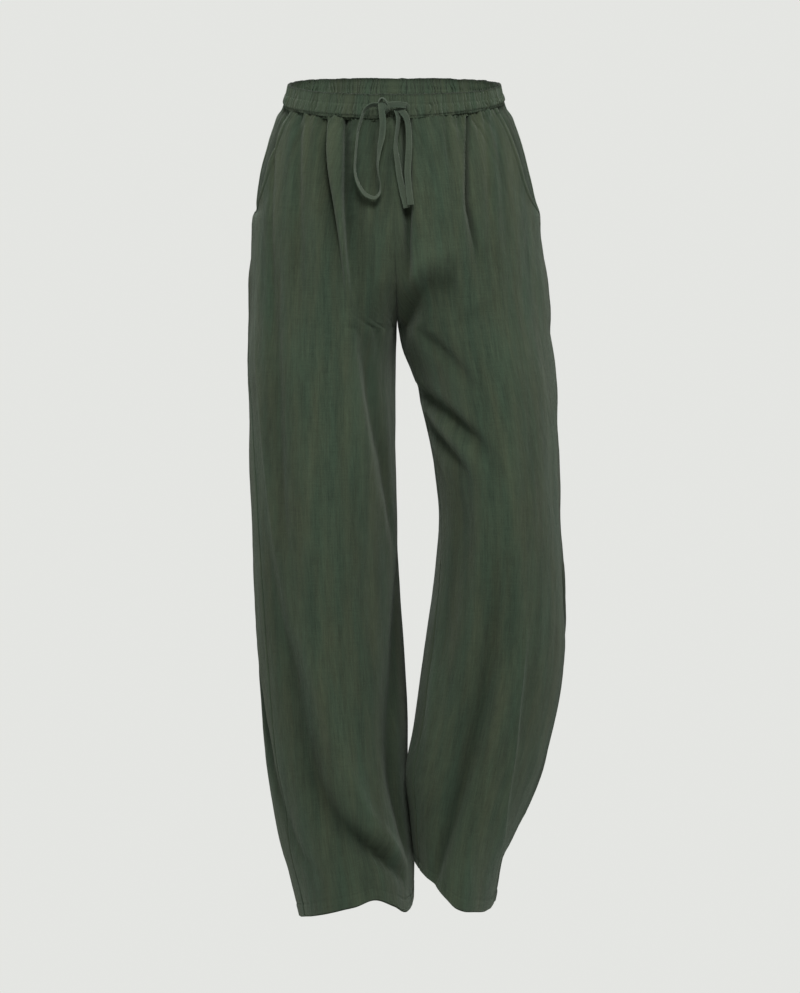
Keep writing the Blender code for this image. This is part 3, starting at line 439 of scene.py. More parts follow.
# Folds at the outer and inner sides, placed by turn in thousandths.
RIGHT_SIDE_FOLDS = [
    fold(1.7, (520, -150, 0, 9), (512, -240, 6, 10, 8), (505, -360, 7, 12, 8), (500, -480, 4, 12, 8),
         (494, -560, 0, 10, 8)),
    fold(1.6, (586, -60, 4, 6, 8), (580, -120, 6, 7, 9), (572, -200, 4, 8, 10), (566, -280, 0, 8, 10)),
    fold(1.6, (560, -540, 0, 9, 14), (530, -640, 7, 9, 17), (486, -750, 8, 9, 18), (436, -850, 7, 9, 15),
         (392, -930, 0, 8, 11)),
    fold(1.7, (620, -420, 0, 10), (612, -560, 7, 12, 10), (604, -700, 6, 12, 10), (590, -800, 0, 10)),
    fold(1.6, (962, -330, 0, 8), (952, -430, 7, 10, 8), (946, -560, 7, 11, 8), (950, -700, 0, 10, 8)),
]
LEFT_SIDE_FOLDS = [
    fold(1.7, (522, -150, 0, 9), (514, -240, 6, 8, 10), (508, -360, 7, 8, 12), (512, -470, 4, 8, 12),
         (520, -550, 0, 8, 10)),
    fold(1.6, (588, -60, 4, 8, 6), (582, -120, 6, 9, 7), (574, -200, 4, 10, 8), (566, -280, 0, 10, 8)),
    fold(1.6, (470, -560, 0, 14, 9), (500, -650, 7, 17, 9), (540, -740, 8, 18, 9), (590, -830, 7, 15, 9),
         (640, -910, 0, 11, 8)),
    fold(1.6, (930, -340, 0, 8), (938, -440, 7, 8, 10), (944, -560, 7, 8, 11), (936, -680, 0, 8, 10)),
]
FOLDS = {
    "right": {"front": RIGHT_FRONT_FOLDS, "back": RIGHT_BACK_FOLDS, "turn": RIGHT_SIDE_FOLDS},
    "left": {"front": LEFT_FRONT_FOLDS, "back": LEFT_BACK_FOLDS, "turn": LEFT_SIDE_FOLDS},
}

# Gathers under the band: listed at the front, and drawn from a seed elsewhere.
GATHER = "x depth width length"         # in millimetres
FRONT_GATHERS = {
    "right": table(
        GATHER,
        (-14, 2.4, 2.4, 60), (-29, 2.6, 2.2, 50), (-35, 2.4, 2.4, 80), (-50, 3.2, 2.0, 16),
        (-55, 3.4, 1.8, 22), (-65, 3.2, 1.8, 10), (-70, 3.4, 1.9, 14), (-76, 2.4, 2.2, 30),
        (-89, 3.6, 1.8, 12), (-93, 3.0, 1.8, 22), (-97, 3.2, 1.9, 9), (-106, 1.6, 2.4, 30),
        (-114, 1.8, 2.4, 40), (-124, 1.4, 2.4, 24),
    ),
    "left": table(
        GATHER,
        (4, 2.6, 2.0, 80), (28, 0.9, 2.2, 12), (38, 0.8, 2.4, 14), (47, 0.9, 2.2, 12),
        (56, 1.0, 2.2, 22), (73, 3.2, 1.9, 10), (78, 3.6, 1.9, 16), (86, 3.2, 1.8, 10),
        (99, 3.4, 1.8, 12), (112, 1.8, 2.2, 24), (120, 1.8, 2.4, 30),
    ),
}
GATHER_SEED = 23
GATHER_SHARP = 1.3
GATHER_DRIFT = 3                        # how far its lower end strays
BACK_GATHERS = 17                       # on each half of the back
BACK_GATHER_TURNS = (0.500, 0.985)
BACK_GATHER = {"stray": (0.2, 0.8), "depth": (1.4, 3.4), "width": (2.4, 3.6), "length": (24, 100),
               "drift": (-6, 6)}

# Puckers, in metres. Depth and length are least, most over it, and how rare the large ones are.
Pucker = namedtuple("Pucker", "arc depth width length drift")
PUCKER_PITCH = 0.0052
PUCKER_SEED = 41
PUCKER_DEPTH = (0.0005, 0.0027, 1.8)
PUCKER_LENGTH = (0.009, 0.075, 2.2)
PUCKER_WIDTH = (0.0012, 0.0021)
PUCKER_STRAY = 0.002
PUCKER_DRIFT = 0.003
PUCKER_REACH = 0.016
PUCKER_SPREAD = 2.2                     # how much wider it is at its lower end
PUCKER_FADE = 1.4
PUCKER_SHARP = 1.3
CALM_PUCKER = 0.3                       # share of a pucker's depth that is left in the calm span
CALM_SPAN = (0.024, 0.070)              # a flatter stretch of the left front, beside the bow

# Undulation and crumple of the whole cloth: lumps of noise, each with its size round and down and depth.
LATTICE = 64                            # cells of noise before it repeats
Lump = namedtuple("Lump", "round down depth seed")
LUMPS = (Lump(0.075, 0.260, 0.0030, 3), Lump(0.030, 0.120, 0.0016, 7), Lump(0.013, 0.040, 0.00070, 11),
         Lump(0.0062, 0.013, 0.00022, 19))


def smooth(share):
    """0 to 1 with level ends."""
    share = np.clip(share, 0.0, 1.0)
    return share * share * (3.0 - 2.0 * share)


def bell(share, power=2):
    """1 in the middle, falling to near 0 where the share is 2."""
    return np.exp(-share ** power)


def curve(rows, column, place, key="height"):
    """A column's values at the places given, on a smooth curve through a table's rows."""
    knots = np.array([getattr(row, key) for row in rows])
    values = np.array([getattr(row, column) for row in rows])
    if knots[0] > knots[-1]:
        knots, values = knots[::-1], values[::-1]
    slopes = np.gradient(values, knots)
    place = np.clip(place, knots[0], knots[-1])
    k = np.clip(np.searchsorted(knots, place, side="right") - 1, 0, len(knots) - 2)
    step = knots[k + 1] - knots[k]
    u = (place - knots[k]) / step
    start = (1 + 2 * u) * (1 - u) ** 2 * values[k] + u * (1 - u) ** 2 * step * slopes[k]
    end = u * u * (3 - 2 * u) * values[k + 1] + u * u * (u - 1) * step * slopes[k + 1]
    return start + end


def smooth_route(route, pieces):
    """Rows of numbers on a smooth curve through the route's rows."""
    stops = np.array(route, float)
    padded = np.vstack([2 * stops[0] - stops[1], stops, 2 * stops[-1] - stops[-2]])
    found = []
    for k in range(1, len(stops)):
        before, start, end, after = padded[k - 1:k + 3]
        for step in range(pieces):
            u = step / pieces
            found.append(0.5 * (2 * start + (end - before) * u
                                + (2 * before - 5 * start + 4 * end - after) * u ** 2
                                + (3 * start - before - 3 * end + after) * u ** 3))
    found.append(stops[-1])
    return np.array(found)


def lumps(points, lump):
    """Smooth noise between -1 and 1 at the points, with cells of the lump's size."""
    cells = points / np.array([lump.round, lump.round, lump.down])
    corner = np.floor(cells).astype(int)
    inside = smooth(cells - corner)
    lattice = np.random.default_rng(lump.seed).uniform(-1.0, 1.0, (LATTICE,) * 3)
    total = np.zeros(points.shape[:-1])
    for i in (0, 1):
        for j in (0, 1):
            for k in (0, 1):
                weight = (np.where(i, inside[..., 0], 1 - inside[..., 0])
                          * np.where(j, inside[..., 1], 1 - inside[..., 1])
                          * np.where(k, inside[..., 2], 1 - inside[..., 2]))
                cell = (corner + (i, j, k)) % LATTICE
                total += weight * lattice[cell[..., 0], cell[..., 1], cell[..., 2]]
    return total


def tilt_of(points):
    """How far the waist's tilt lifts the points."""
    lean = points[..., 1] / WAIST_DEPTH
    fade = smooth((points[..., 2] - TILT_LOW) / TILT_RUN)
    return (WAIST_TILT * lean - WAIST_DIP * lean ** 2) * fade


def tilted(points):
    """The points, lifted by the waist's tilt."""
    points = points.copy()
    points[..., 2] += tilt_of(points)
    return points


# Where the two halves part under the crotch, and how the leg's inner line runs into the centre seam.
JOIN_BELOW = 0.014
JOIN_RUN = 0.012
INNER_RUN_IN = 0.050                    # how far over the crotch it does so
OFF_SEAM = 0.02                         # share of the way to the outer side where it wholly does
SOFTENED = 0.055                        # how far up and down the inner line is averaged,
SOFTENED_INSET = 0.22                   # this share of the way to the outer side and beyond it
SOFTENING = np.linspace(-1.0, 1.0, 9)   # the levels that it is averaged over, as shares of that reach
TURN_STEP = 0.001                       # for slopes over the surface
SEEN_TURNS = 201                        # where the surface is read to place the folds on it
LINE_PIECES = 5                         # between two bends of a fold
# Folds on the surface
NEAR = 0.0004                           # how sharply a fold's nearest pieces count, in metres
BLEND = 6.0                             # and the power of it
WRAP_FADE = 0.090                       # how gradually folds pass round the inseam, under the crotch
FOLD_REACH = 3.2                        # how many widths away a fold is felt
LAP_REACH = 0.08                        # how far round from its line a lap is looked for
LAP_POWER = 1.5
LAP_FADE = 5.0                          # widths over which a lap dies away
CALM_TOP = 0.35                         # share of the crumple that is left under the band
CALM_RUN = 0.10
SEAM_FADE = 0.16                        # how near to the centre seams and inseams the relief fades
SEAM_SHARE = 0.55                       # and how much of it is left at an inseam
NORMAL_FADE = 0.20                      # how near to the centre seams the cloth moves straight out
# Colour: painted light and shade, from the folds' depth and at the legs' sides
HOLLOW_PAINTED_SHADE = 27.0                      # painted shade: how much darker a hollow's colour is, for each metre of depth
HOLLOW_SHADE_MOST = 0.42
RIDGE_HIGHLIGHT_MOST = 0.09                       # the most that a ridge is painted paler, as a highlight
# How much darker the colour is painted at the leg's inner side, as shade from the other leg, and at its outer
# side, as shade where the cloth turns away; below zero it is painted paler, as light.
INNER_PAINTED_SHADING = table(
    "height right left",
    (-0.24, 0.0, 0.0), (-0.29, 0.03, -0.10), (-0.33, 0.06, -0.28), (-0.38, 0.10, -0.22), (-0.45, 0.18, 0.0),
    (-0.58, 0.36, 0.24), (-0.68, 0.48, 0.28), (-0.78, 0.56, 0.26), (-0.86, 0.52, 0.24), (-0.92, 0.40, 0.26),
    (-0.96, 0.16, 0.16), (-1.03, 0.0, 0.0),
)
OUTER_PAINTED_SHADE = table(
    "height right left",
    (-0.02, 0.06, 0.06), (-0.12, 0.14, 0.10), (-0.20, 0.34, 0.18), (-0.50, 0.36, 0.24), (-0.70, 0.26, 0.26),
    (-0.80, 0.22, 0.38), (-0.92, 0.18, 0.38), (-1.03, 0.28, 0.22),
)
INNER_SHADE_REACH = 0.040
OUTER_SHADE_REACH = 0.026
PUCKER_SHADE_WEIGHT = 2.0                       # how much more a pucker's depth counts than a fold's, in the painted shade


def joined_share(height):
    """1 where the halves meet in one plane, above the crotch, and 0 on the legs."""
    return smooth((height - CROTCH + JOIN_BELOW) / JOIN_RUN)


class Half:
    """The wearer's right or left half of the trousers, as a surface over turn and height."""

    TURNS = np.linspace(-0.16, 1.16, 529)
    LEVELS = np.linspace(-1.06, 0.02, 181)

    def __init__(self, name, sign, outline, fork, hem):
        self.name = name
        self.sign = sign
        self.outline = outline
        self.fork = fork
        self.hem = hem
        ring = self.point(self.TURNS[None, :], self.LEVELS[:, None])
        steps = np.linalg.norm(np.diff(ring, axis=1), axis=-1)
        self.arcs = np.hstack([np.zeros((len(self.LEVELS), 1)), np.cumsum(steps, axis=1)])
        side = np.searchsorted(self.TURNS, 0.5)
        self.arcs -= self.arcs[:, side][:, None]
        self.folds = []
        self.puckers = draw_puckers(self)

    def inner(self, height, off_seam):
        """The centre seam above the crotch, and the leg's inner side below it. Away from the seam, the one
        runs into the other."""
        down = (BAND_TOP - height) / (BAND_TOP - CROTCH)
        centre = CENTRE_TOP + (CENTRE_LOW - CENTRE_TOP) * down
        run_in = smooth(1.0 - (height - CROTCH) / INNER_RUN_IN)
        centre = centre + (self.fork[0].inner - CENTRE_LOW) * off_seam * run_in
        return np.where(height >= CROTCH, centre, curve(self.fork, "inner", height))

    def leg_share(self, inset, height, rise):
        """0 on the torso and 1 on the leg, rounding into the crotch curve near the middle."""
        body = smooth((CROTCH + SPLIT_ABOVE - height) / (SPLIT_ABOVE + SPLIT_BELOW))
        up = np.clip((height - CROTCH) / rise, 0.0, 1.0)
        near = np.minimum(np.hypot(up, inset / CROTCH_REACH), 1.0)
        return 1.0 - (1.0 - body) * np.sqrt(1.0 - (1.0 - near) ** 2)

    def point(self, turn, height):
        """Smooth outer face, without folds and tilt, as an array of points."""
        turn, height = np.broadcast_arrays(np.asarray(turn, float), np.asarray(height, float))
        turn = np.where(height <= CROTCH, np.mod(turn, 1.0), np.clip(turn, 0.0, 1.0))
        on_front = turn < 0.5
        inset = (1.0 - np.cos(2.0 * math.pi * turn)) / 2.0
        outer = curve(self.outline, "outer", height)
        reach = SOFTENED * smooth(inset / SOFTENED_INSET)
        levels = [np.minimum(height + step * reach, BAND_TOP) for step in SOFTENING]
        inner = sum(self.inner(level, smooth(inset / OFF_SEAM)) for level in levels) / len(levels)
        inner_y = sum(curve(self.fork, "inner_y", level) for level in levels) / len(levels)
        front = curve(self.outline, "front", height)
        back = curve(self.outline, "back", height)
        share = np.where(on_front, self.leg_share(inset, height, FRONT_RISE),
                         self.leg_share(inset, height, BACK_RISE))
        torso = (1.0 - inset ** TORSO_POWER) ** (1.0 / TORSO_POWER)
        pointed = FORK_POWER + (LEG_POWER - FORK_POWER) * smooth((CROTCH - height) / FORK_FADE)
        power = np.where(inset < 0.5, pointed, LEG_POWER)
        leg = (1.0 - np.abs(2.0 * inset - 1.0) ** power) ** (1.0 / power)
        bulge = (1.0 - share) * torso + share * leg
        rest_y = (1.0 - inset) * inner_y + inset * (front + back) / 2.0
        y = rest_y + (np.where(on_front, front, back) - rest_y) * bulge
        return np.stack([inner + (outer - inner) * inset, y, height], axis=-1)

    def outward(self, turn, height):
        """Unit vectors out of the cloth."""
        across = self.point(turn + TURN_STEP, height) - self.point(turn - TURN_STEP, height)
        upward = self.point(turn, height + MM) - self.point(turn, height - MM)
        normal = self.sign * np.cross(across, upward)
        return normal / np.linalg.norm(normal, axis=-1, keepdims=True)

    def hem_height(self, turn, height):
        """The height of a row's point: low rows follow the hem's line."""
        hem = curve(self.hem, "height", np.mod(turn, 1.0), key="turn")
        stretched = HEM_ZONE + (height - HEM_ZONE) * (hem - HEM_ZONE) / (HEM_LEVEL - HEM_ZONE)
        return np.where(height < HEM_ZONE, stretched, height)

    def seam_height(self, turn, height):
        """The height of a row's point near the band: the rows follow the seam's rise."""
        above = smooth((CHANNEL - height) / (CHANNEL - BAND_BOTTOM))
        below = smooth((height - BAND_BOTTOM + SEAM_REACH) / SEAM_REACH)
        return height + curve(SEAM_RISE, self.name, turn, key="turn") * MM * np.minimum(above, below)

    def level_rows(self, height):
        """The two rows of the arc table round each height, and the share of the upper one."""
        place = (np.asarray(height, float) - self.LEVELS[0]) / (self.LEVELS[1] - self.LEVELS[0])
        low = np.clip(np.floor(place).astype(int), 0, len(self.LEVELS) - 2)
        return low, np.clip(place - low, 0.0, 1.0)

    def arc(self, turn, height):
        """Distance round the cloth from the outer side, below zero on the front."""
        turn, height = np.broadcast_arrays(np.asarray(turn, float), np.asarray(height, float))
        low, share = self.level_rows(height)
        place = (turn - self.TURNS[0]) / (self.TURNS[1] - self.TURNS[0])
        k = np.clip(np.floor(place).astype(int), 0, len(self.TURNS) - 2)
        along = place - k
        lower = self.arcs[low, k] * (1 - along) + self.arcs[low, k + 1] * along
        upper = self.arcs[low + 1, k] * (1 - along) + self.arcs[low + 1, k + 1] * along
        return lower * (1 - share) + upper * share

    def turns_at(self, arcs, height):
        """The turns at distances round one level."""
        low, share = self.level_rows(height)
        row = self.arcs[low] * (1 - share) + self.arcs[low + 1] * share
        turns = np.interp(arcs, row, self.TURNS)
        return np.clip(turns, 0.0, 1.0) if height > CROTCH else turns

    def place(self, x, z, face):
        """The (arc, height) of spots seen from the front or back, or of turns."""
        if face == "turn":
            return self.arc(x, z), z
        front = face == "front"
        seen = np.stack([x, np.full(x.shape, -WAIST_DEPTH if front else WAIST_DEPTH), z], axis=-1)
        height = z - tilt_of(seen)
        turns = np.linspace(0.0 if front else 1.0, 0.5, SEEN_TURNS)
        across = self.point(turns[None, :], height[:, None])[..., 0] * self.sign
        turn = np.array([np.interp(spot * self.sign, row, turns) for spot, row in zip(x, across)])
        return self.arc(turn, height), height

    def add_folds(self, groups):
        """Keeps the folds of each face as fine lines of (arc, height, depth, left, right)."""
        for face, folds in groups.items():
            for item in folds:
                line = smooth_route(item.bends, LINE_PIECES) * MM
                line[:, 0], line[:, 1] = self.place(line[:, 0], line[:, 1], face)
                self.folds.append((line, item.sharp, item.over * MM))

    def fold_depth(self, arc, height):
        """How far all the folds push the cloth in."""
        depth = np.zeros(arc.shape)
        girth = self.arc(1.0, height) - self.arc(0.0, height)
        for line, sharp, _ in self.folds:
            reach = FOLD_REACH * line[:, 3:].max()
            low_arc, high_arc = line[:, 0].min() - reach, line[:, 0].max() + reach
            inside = (height > line[:, 1].min() - reach) & (height < line[:, 1].max() + reach)
            for wrap in (-1, 0, 1):
                spot = arc + wrap * girth
                near = inside & (spot > low_arc) & (spot < high_arc)
                if wrap:
                    near &= height < CROTCH
                if near.any():
                    share = smooth((CROTCH - height[near]) / WRAP_FADE) if wrap else 1.0
                    depth[near] += share * line_depth(spot[near], height[near], line, sharp, self.sign)
        return depth

    def slide(self, arc, height):
        """How far the folds' upper edges lap over their creases, along the arc."""
        along = np.zeros(arc.shape)
        for line, _, over in self.folds:
            if over:
                near = np.abs(arc - line[:, 0].mean()) < LAP_REACH
                along[near] += lap(arc[near], height[near], line, over, self.sign)
        return along

    def relief(self, turn, height, points):
        """How far the cloth stands out of the smooth form, with its folds and crumple."""
        arc = self.arc(turn, height)
        out = -self.fold_depth(arc, height) - pucker_depth(arc, height, self.puckers)
        out += curve(SIDE_TRIM, self.name, height) * MM * bell((turn - 0.5) / TRIM_REACH)
        calm = CALM_TOP + (1.0 - CALM_TOP) * smooth((BAND_BOTTOM - height) / CALM_RUN)
        for lump in LUMPS:
            out += lump.depth * lumps(points, lump) * calm
        away = smooth(np.abs(np.sin(math.pi * turn)) / SEAM_FADE)
        return out * (away + SEAM_SHARE * (1.0 - away) * (1.0 - joined_share(height)))

    def painted_shading(self, turn, height):
        """Painted light and shade in the colour: ridges a little paler as highlights, hollows darker as
        shade, and the legs' inner and outer sides darker or paler.
        """
        height = self.seam_height(turn, self.hem_height(turn, height))
        arc = self.arc(turn, height)
        depth = self.fold_depth(arc, height) + PUCKER_SHADE_WEIGHT * pucker_depth(arc, height, self.puckers)
        # Painted shade in the hollows and painted highlights on the ridges, by depth.
        tone = np.clip(-HOLLOW_PAINTED_SHADE * depth, -HOLLOW_SHADE_MOST, RIDGE_HIGHLIGHT_MOST)
        # Painted shade along the inseam and along the outer side.
        inside = np.minimum(np.abs(arc - self.arc(0.0, height)), np.abs(arc - self.arc(1.0, height)))
        tone = tone - curve(INNER_PAINTED_SHADING, self.name, height) * bell(inside / INNER_SHADE_REACH)
        return tone - curve(OUTER_PAINTED_SHADE, self.name, height) * bell(arc / OUTER_SHADE_REACH)

    def cloth(self, turn, height, lift=0.0):
        """Points of the finished outer face, moved out by the lift."""
        height = self.seam_height(turn, self.hem_height(turn, height))
        points = self.point(turn, height)
        out = self.relief(turn, height, points) + lift
        normal = self.outward(turn, height)
        along = self.slide(self.arc(turn, height), height)
        tangent = self.point(turn + TURN_STEP, height) - self.point(turn - TURN_STEP, height)
        points = points + tangent / np.linalg.norm(tangent, axis=-1, keepdims=True) * along[..., None]
        away = smooth(np.abs(np.sin(math.pi * turn)) / NORMAL_FADE)
        normal[..., 0] *= 1.0 - (1.0 - away) * joined_share(height)
        return tilted(points + normal * out[..., None])


def spans(arc, height, line, sign):
    """For each piece of a fold's line: its start, its depth and widths nearest to the places given, how
    far off the places are along the arc and in all, and whether they are on its right."""
    for start, end in zip(line, line[1:]):
        run = end[:2] - start[:2]
        length = math.hypot(*run)
        share = np.clip(((arc - start[0]) * run[0] + (height - start[1]) * run[1]) / length ** 2, 0, 1)
        off_arc = arc - start[0] - share * run[0]
        off_height = height - start[1] - share * run[1]
        on_right = (run[0] * off_height - run[1] * off_arc) * sign > 0
        nearest = [start[k] + share * (end[k] - start[k]) for k in (2, 3, 4)]
        yield start, nearest, off_arc, np.hypot(off_arc, off_height), on_right


def line_depth(arc, height, line, sharp, sign):
    """Depth of one fold at the places given: the nearest pieces of its line count most."""
    total, depth = np.zeros(arc.shape), np.zeros(arc.shape)
    for _, (deep, left, right), _, away, on_right in spans(arc, height, line, sign):
        weight = (away + NEAR) ** -BLEND
        total += weight
        depth += weight * (deep * bell(away / np.where(on_right, right, left), sharp))
    return depth / total


def lap(arc, height, line, over, sign):
    """How far one fold's steep side is carried over its crease."""
    best = np.full(arc.shape, np.inf)
    along = np.zeros(arc.shape)
    deepest = line[:, 2].max()
    for start, (deep, _, _), off_arc, away, on_right in spans(arc, height, line, sign):
        steep = on_right == (start[4] < start[3])
        width = min(start[3], start[4])
        rise = 1.0 - bell(away / width, LAP_POWER)
        fade = bell(away / (LAP_FADE * width))
        here = np.where(steep, -over * (deep / deepest) * rise * fade * np.sign(off_arc), 0.0)
        nearer = away < best
        best = np.where(nearer, away, best)
        along = np.where(nearer, here, along)
    return along


def gather_fold(x, drift, depth, width, length, top, low, widen):
    """A fold that fades downwards from its top, and widens. low is where its length counts from."""
    return fold(GATHER_SHARP, (x, top, depth, width),
                (x + drift / 3, low - length * 0.3, depth * 0.8, width * widen[0]),
                (x + drift, low - length, 0, width * widen[1]))


def gather_folds(half):
    """Short gathers under the band, by face."""
    rng = np.random.default_rng(GATHER_SEED + int(half.sign))
    front = [gather_fold(row.x, rng.uniform(-GATHER_DRIFT, GATHER_DRIFT), row.depth, row.width, row.length,
                         top=-12, low=-30, widen=(1.2, 1.8)) for row in FRONT_GATHERS[half.name]]
    first, last = BACK_GATHER_TURNS
    back = []
    for k in range(BACK_GATHERS):
        stray, depth, width, length, drift = (rng.uniform(*limits) for limits in BACK_GATHER.values())
        turn = 1000 * (first + (last - first) * (k + stray) / BACK_GATHERS)
        back.append(gather_fold(turn, drift, depth, width, length, top=4, low=-20, widen=(1.3, 2)))
    return {"front": front, "turn": back}


def drawn(rng, least, more, rarity):
    """A number from least to least + more, the large ones rarer."""
    return least + more * rng.random() ** rarity


def draw_puckers(half):
    """Small uneven gathers, a few millimetres apart, all along the seam under the band."""
    rng = np.random.default_rng(PUCKER_SEED + int(half.sign))
    start, end = float(half.arc(0.0, BAND_BOTTOM)), float(half.arc(1.0, BAND_BOTTOM))
    found = []
    for arc in np.arange(start, end, PUCKER_PITCH):
        depth = drawn(rng, *PUCKER_DEPTH)
        if half.name == "left" and CALM_SPAN[0] < arc - start < CALM_SPAN[1]:
            depth *= CALM_PUCKER
        found.append(Pucker(arc + rng.uniform(-PUCKER_STRAY, PUCKER_STRAY), depth, rng.uniform(*PUCKER_WIDTH),
                            drawn(rng, *PUCKER_LENGTH), rng.uniform(-PUCKER_DRIFT, PUCKER_DRIFT)))
    return found


def pucker_depth(arc, height, puckers):
    """How far all the puckers push the cloth in."""
    depth = np.zeros(arc.shape)
    for pucker in puckers:
        down = (BAND_BOTTOM - height) / pucker.length
        near = (down < 1.0) & (np.abs(arc - pucker.arc) < PUCKER_REACH)
        share = np.clip(down[near], 0.0, 1.0)
        off = np.abs(arc[near] - pucker.arc - pucker.drift * share)
        off = off / (pucker.width * (1.0 + PUCKER_SPREAD * share))
        depth[near] += pucker.depth * (1.0 - share) ** PUCKER_FADE * bell(off, PUCKER_SHARP)
    return depth


# --- Meshes --------------------------------------------------------------------------------------
def grid_faces(rows, columns, closed, flip):
    """Four-sided faces between rows of points. A closed one joins its last column to its first."""
    index = np.arange(rows * columns).reshape(rows, columns)
    across = np.roll(index, -1, axis=1) if closed else index[:, 1:]
    here = index if closed else index[:, :-1]
    faces = np.stack([here[:-1], here[1:], across[1:], across[:-1]], axis=-1).reshape(-1, 4)
    return faces[:, ::-1] if flip else faces


def mesh_piece(name, points, faces, material, grain=None, wear=None):
    """A smooth-shaded piece. Each point has its place on the woven cloth, in metres, as grain, and how much
    paler or darker its colour is: paler on rubbed edges, which is real wear, and painted light and shade
    elsewhere."""
    mesh = bpy.data.meshes.new(name)
    mesh.from_pydata(np.asarray(points).reshape(-1, 3).tolist(), [], [list(face) for face in faces])
    mesh.shade_smooth()
    if grain is not None:
        layer = mesh.attributes.new("grain", "FLOAT_VECTOR", "POINT")
        layer.data.foreach_set("vector", np.asarray(grain, np.float32).ravel())
    if wear is not None:
        layer = mesh.attributes.new("wear", "FLOAT", "POINT")
        layer.data.foreach_set("value", np.asarray(wear, np.float32).ravel())
    mesh.materials.append(material)
    piece = bpy.data.objects.new(name, mesh)
    bpy.context.scene.collection.objects.link(piece)
    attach(piece, "root")
    return piece


def add_cloth(name, points, material, grain, wear, flat, held, rests_on, area=None, closed=False,
              flip=False, thickness=0.0):
    """A sheet that stands for the CAD node of its name, with a wall of the thickness behind it."""
    faces = grid_faces(*points.shape[:2], closed=closed, flip=flip)
    piece = mesh_piece(name + "_cloth", points, faces, material, grain, wear)
    if thickness:
        wall = piece.modifiers.new("Thickness", "SOLIDIFY")
        wall.thickness = thickness
        wall.offset = -1.0
    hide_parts(name)


# --- Materials -----------------------------------------------------------------------------------
LINEN_GREEN = (0.0414, 0.0684, 0.0418)
LINEN_BROWN = (0.0532, 0.0690, 0.0398)
TIE_GREEN = (0.0560, 0.0830, 0.0570)
TIE_BROWN = (0.0660, 0.0830, 0.0550)
THREADS = 1500.0                        # threads in a metre of cloth

# Noise on the cloth: cells in a metre across and down, how much it shifts the colour and the height.
Weave = namedtuple("Weave", "across down detail tint height")
STREAK = Weave(84.0, 6.0, 3.0, 0.80, 0.0)
DOWN_SLUB = Weave(620.0, 34.0, 3.0, 0.90, 0.36)
CROSS_SLUB = Weave(46.0, 640.0, 3.0, 0.42, 0.20)
GRAIN = Weave(780.0, 700.0, 2.0, 0.60, 0.22)
CRUMPLE = Weave(130.0, 60.0, 4.0, 0.30, 1.10)
PATCH = Weave(36.0, 8.0, 2.0, 0.50, 0.0)
SHEEN_SHADE_LOSS = 1.7                         # how much less sheen the places have where shade is painted, and how much more the paler edges have
NOISE_ROUGH = 0.6
WANDER = (60.0, 60.0, 60.0)             # cells in a metre of the threads' wandering
WARP_WANDER = 2.2                       # and how far they wander, in radians of the weave
WEFT_WANDER = 2.6
WEAVE_TONE = (0.16, 0.90)               # how the weave colours the threads, and the tone without it
WEAVE_HEIGHT = 0.10
HUE_CELLS = (40.0, 5.0, 1.0)            # streaks of the two greens
HUE_LIMITS = (0.36, 0.64)
BUMP_STRENGTH = 0.9
BUMP_DISTANCE = 0.0012
SHEEN_TINT = (0.75, 0.85, 0.72, 1.0)


class Nodes:
    """Short names for making and joining shader nodes."""

    def __init__(self, tree):
        self.tree = tree

    def make(self, kind, settings=None, **inputs):
        """The first output of a new node. An input is named, or numbered as in i0."""
        node = self.tree.nodes.new(kind)
        for key, value in (settings or {}).items():
            setattr(node, key, value)
        for key, value in inputs.items():
            socket = node.inputs[int(key[1:]) if key[0] == "i" and key[1:].isdigit() else key]
            if isinstance(value, bpy.types.NodeSocket):
                self.tree.links.new(value, socket)
            else:
                socket.default_value = value
        return node.outputs[0]

    def maths(self, operation, first, second=0.0, third=0.0):
        return self.make("ShaderNodeMath", {"operation": operation}, i0=first, i1=second, i2=third)

    def noise(self, vector, scale, detail=2.0, rough=0.5):
        return self.make("ShaderNodeTexNoise", Vector=vector, Scale=scale, Detail=detail, Roughness=rough)

    def stretched(self, vector, scale):
        return self.make("ShaderNodeVectorMath", {"operation": "MULTIPLY"}, i0=vector, i1=scale)

    def blend(self, factor, first, second):
        node = self.tree.nodes.new("ShaderNodeMix")
        node.data_type = "RGBA"
        for socket, value in ((node.inputs[0], factor), (node.inputs[6], first), (node.inputs[7], second)):
            if isinstance(value, bpy.types.NodeSocket):
                self.tree.links.new(value, socket)
            else:
                socket.default_value = (*value, 1.0) if isinstance(value, tuple) else value
        return node.outputs[2]


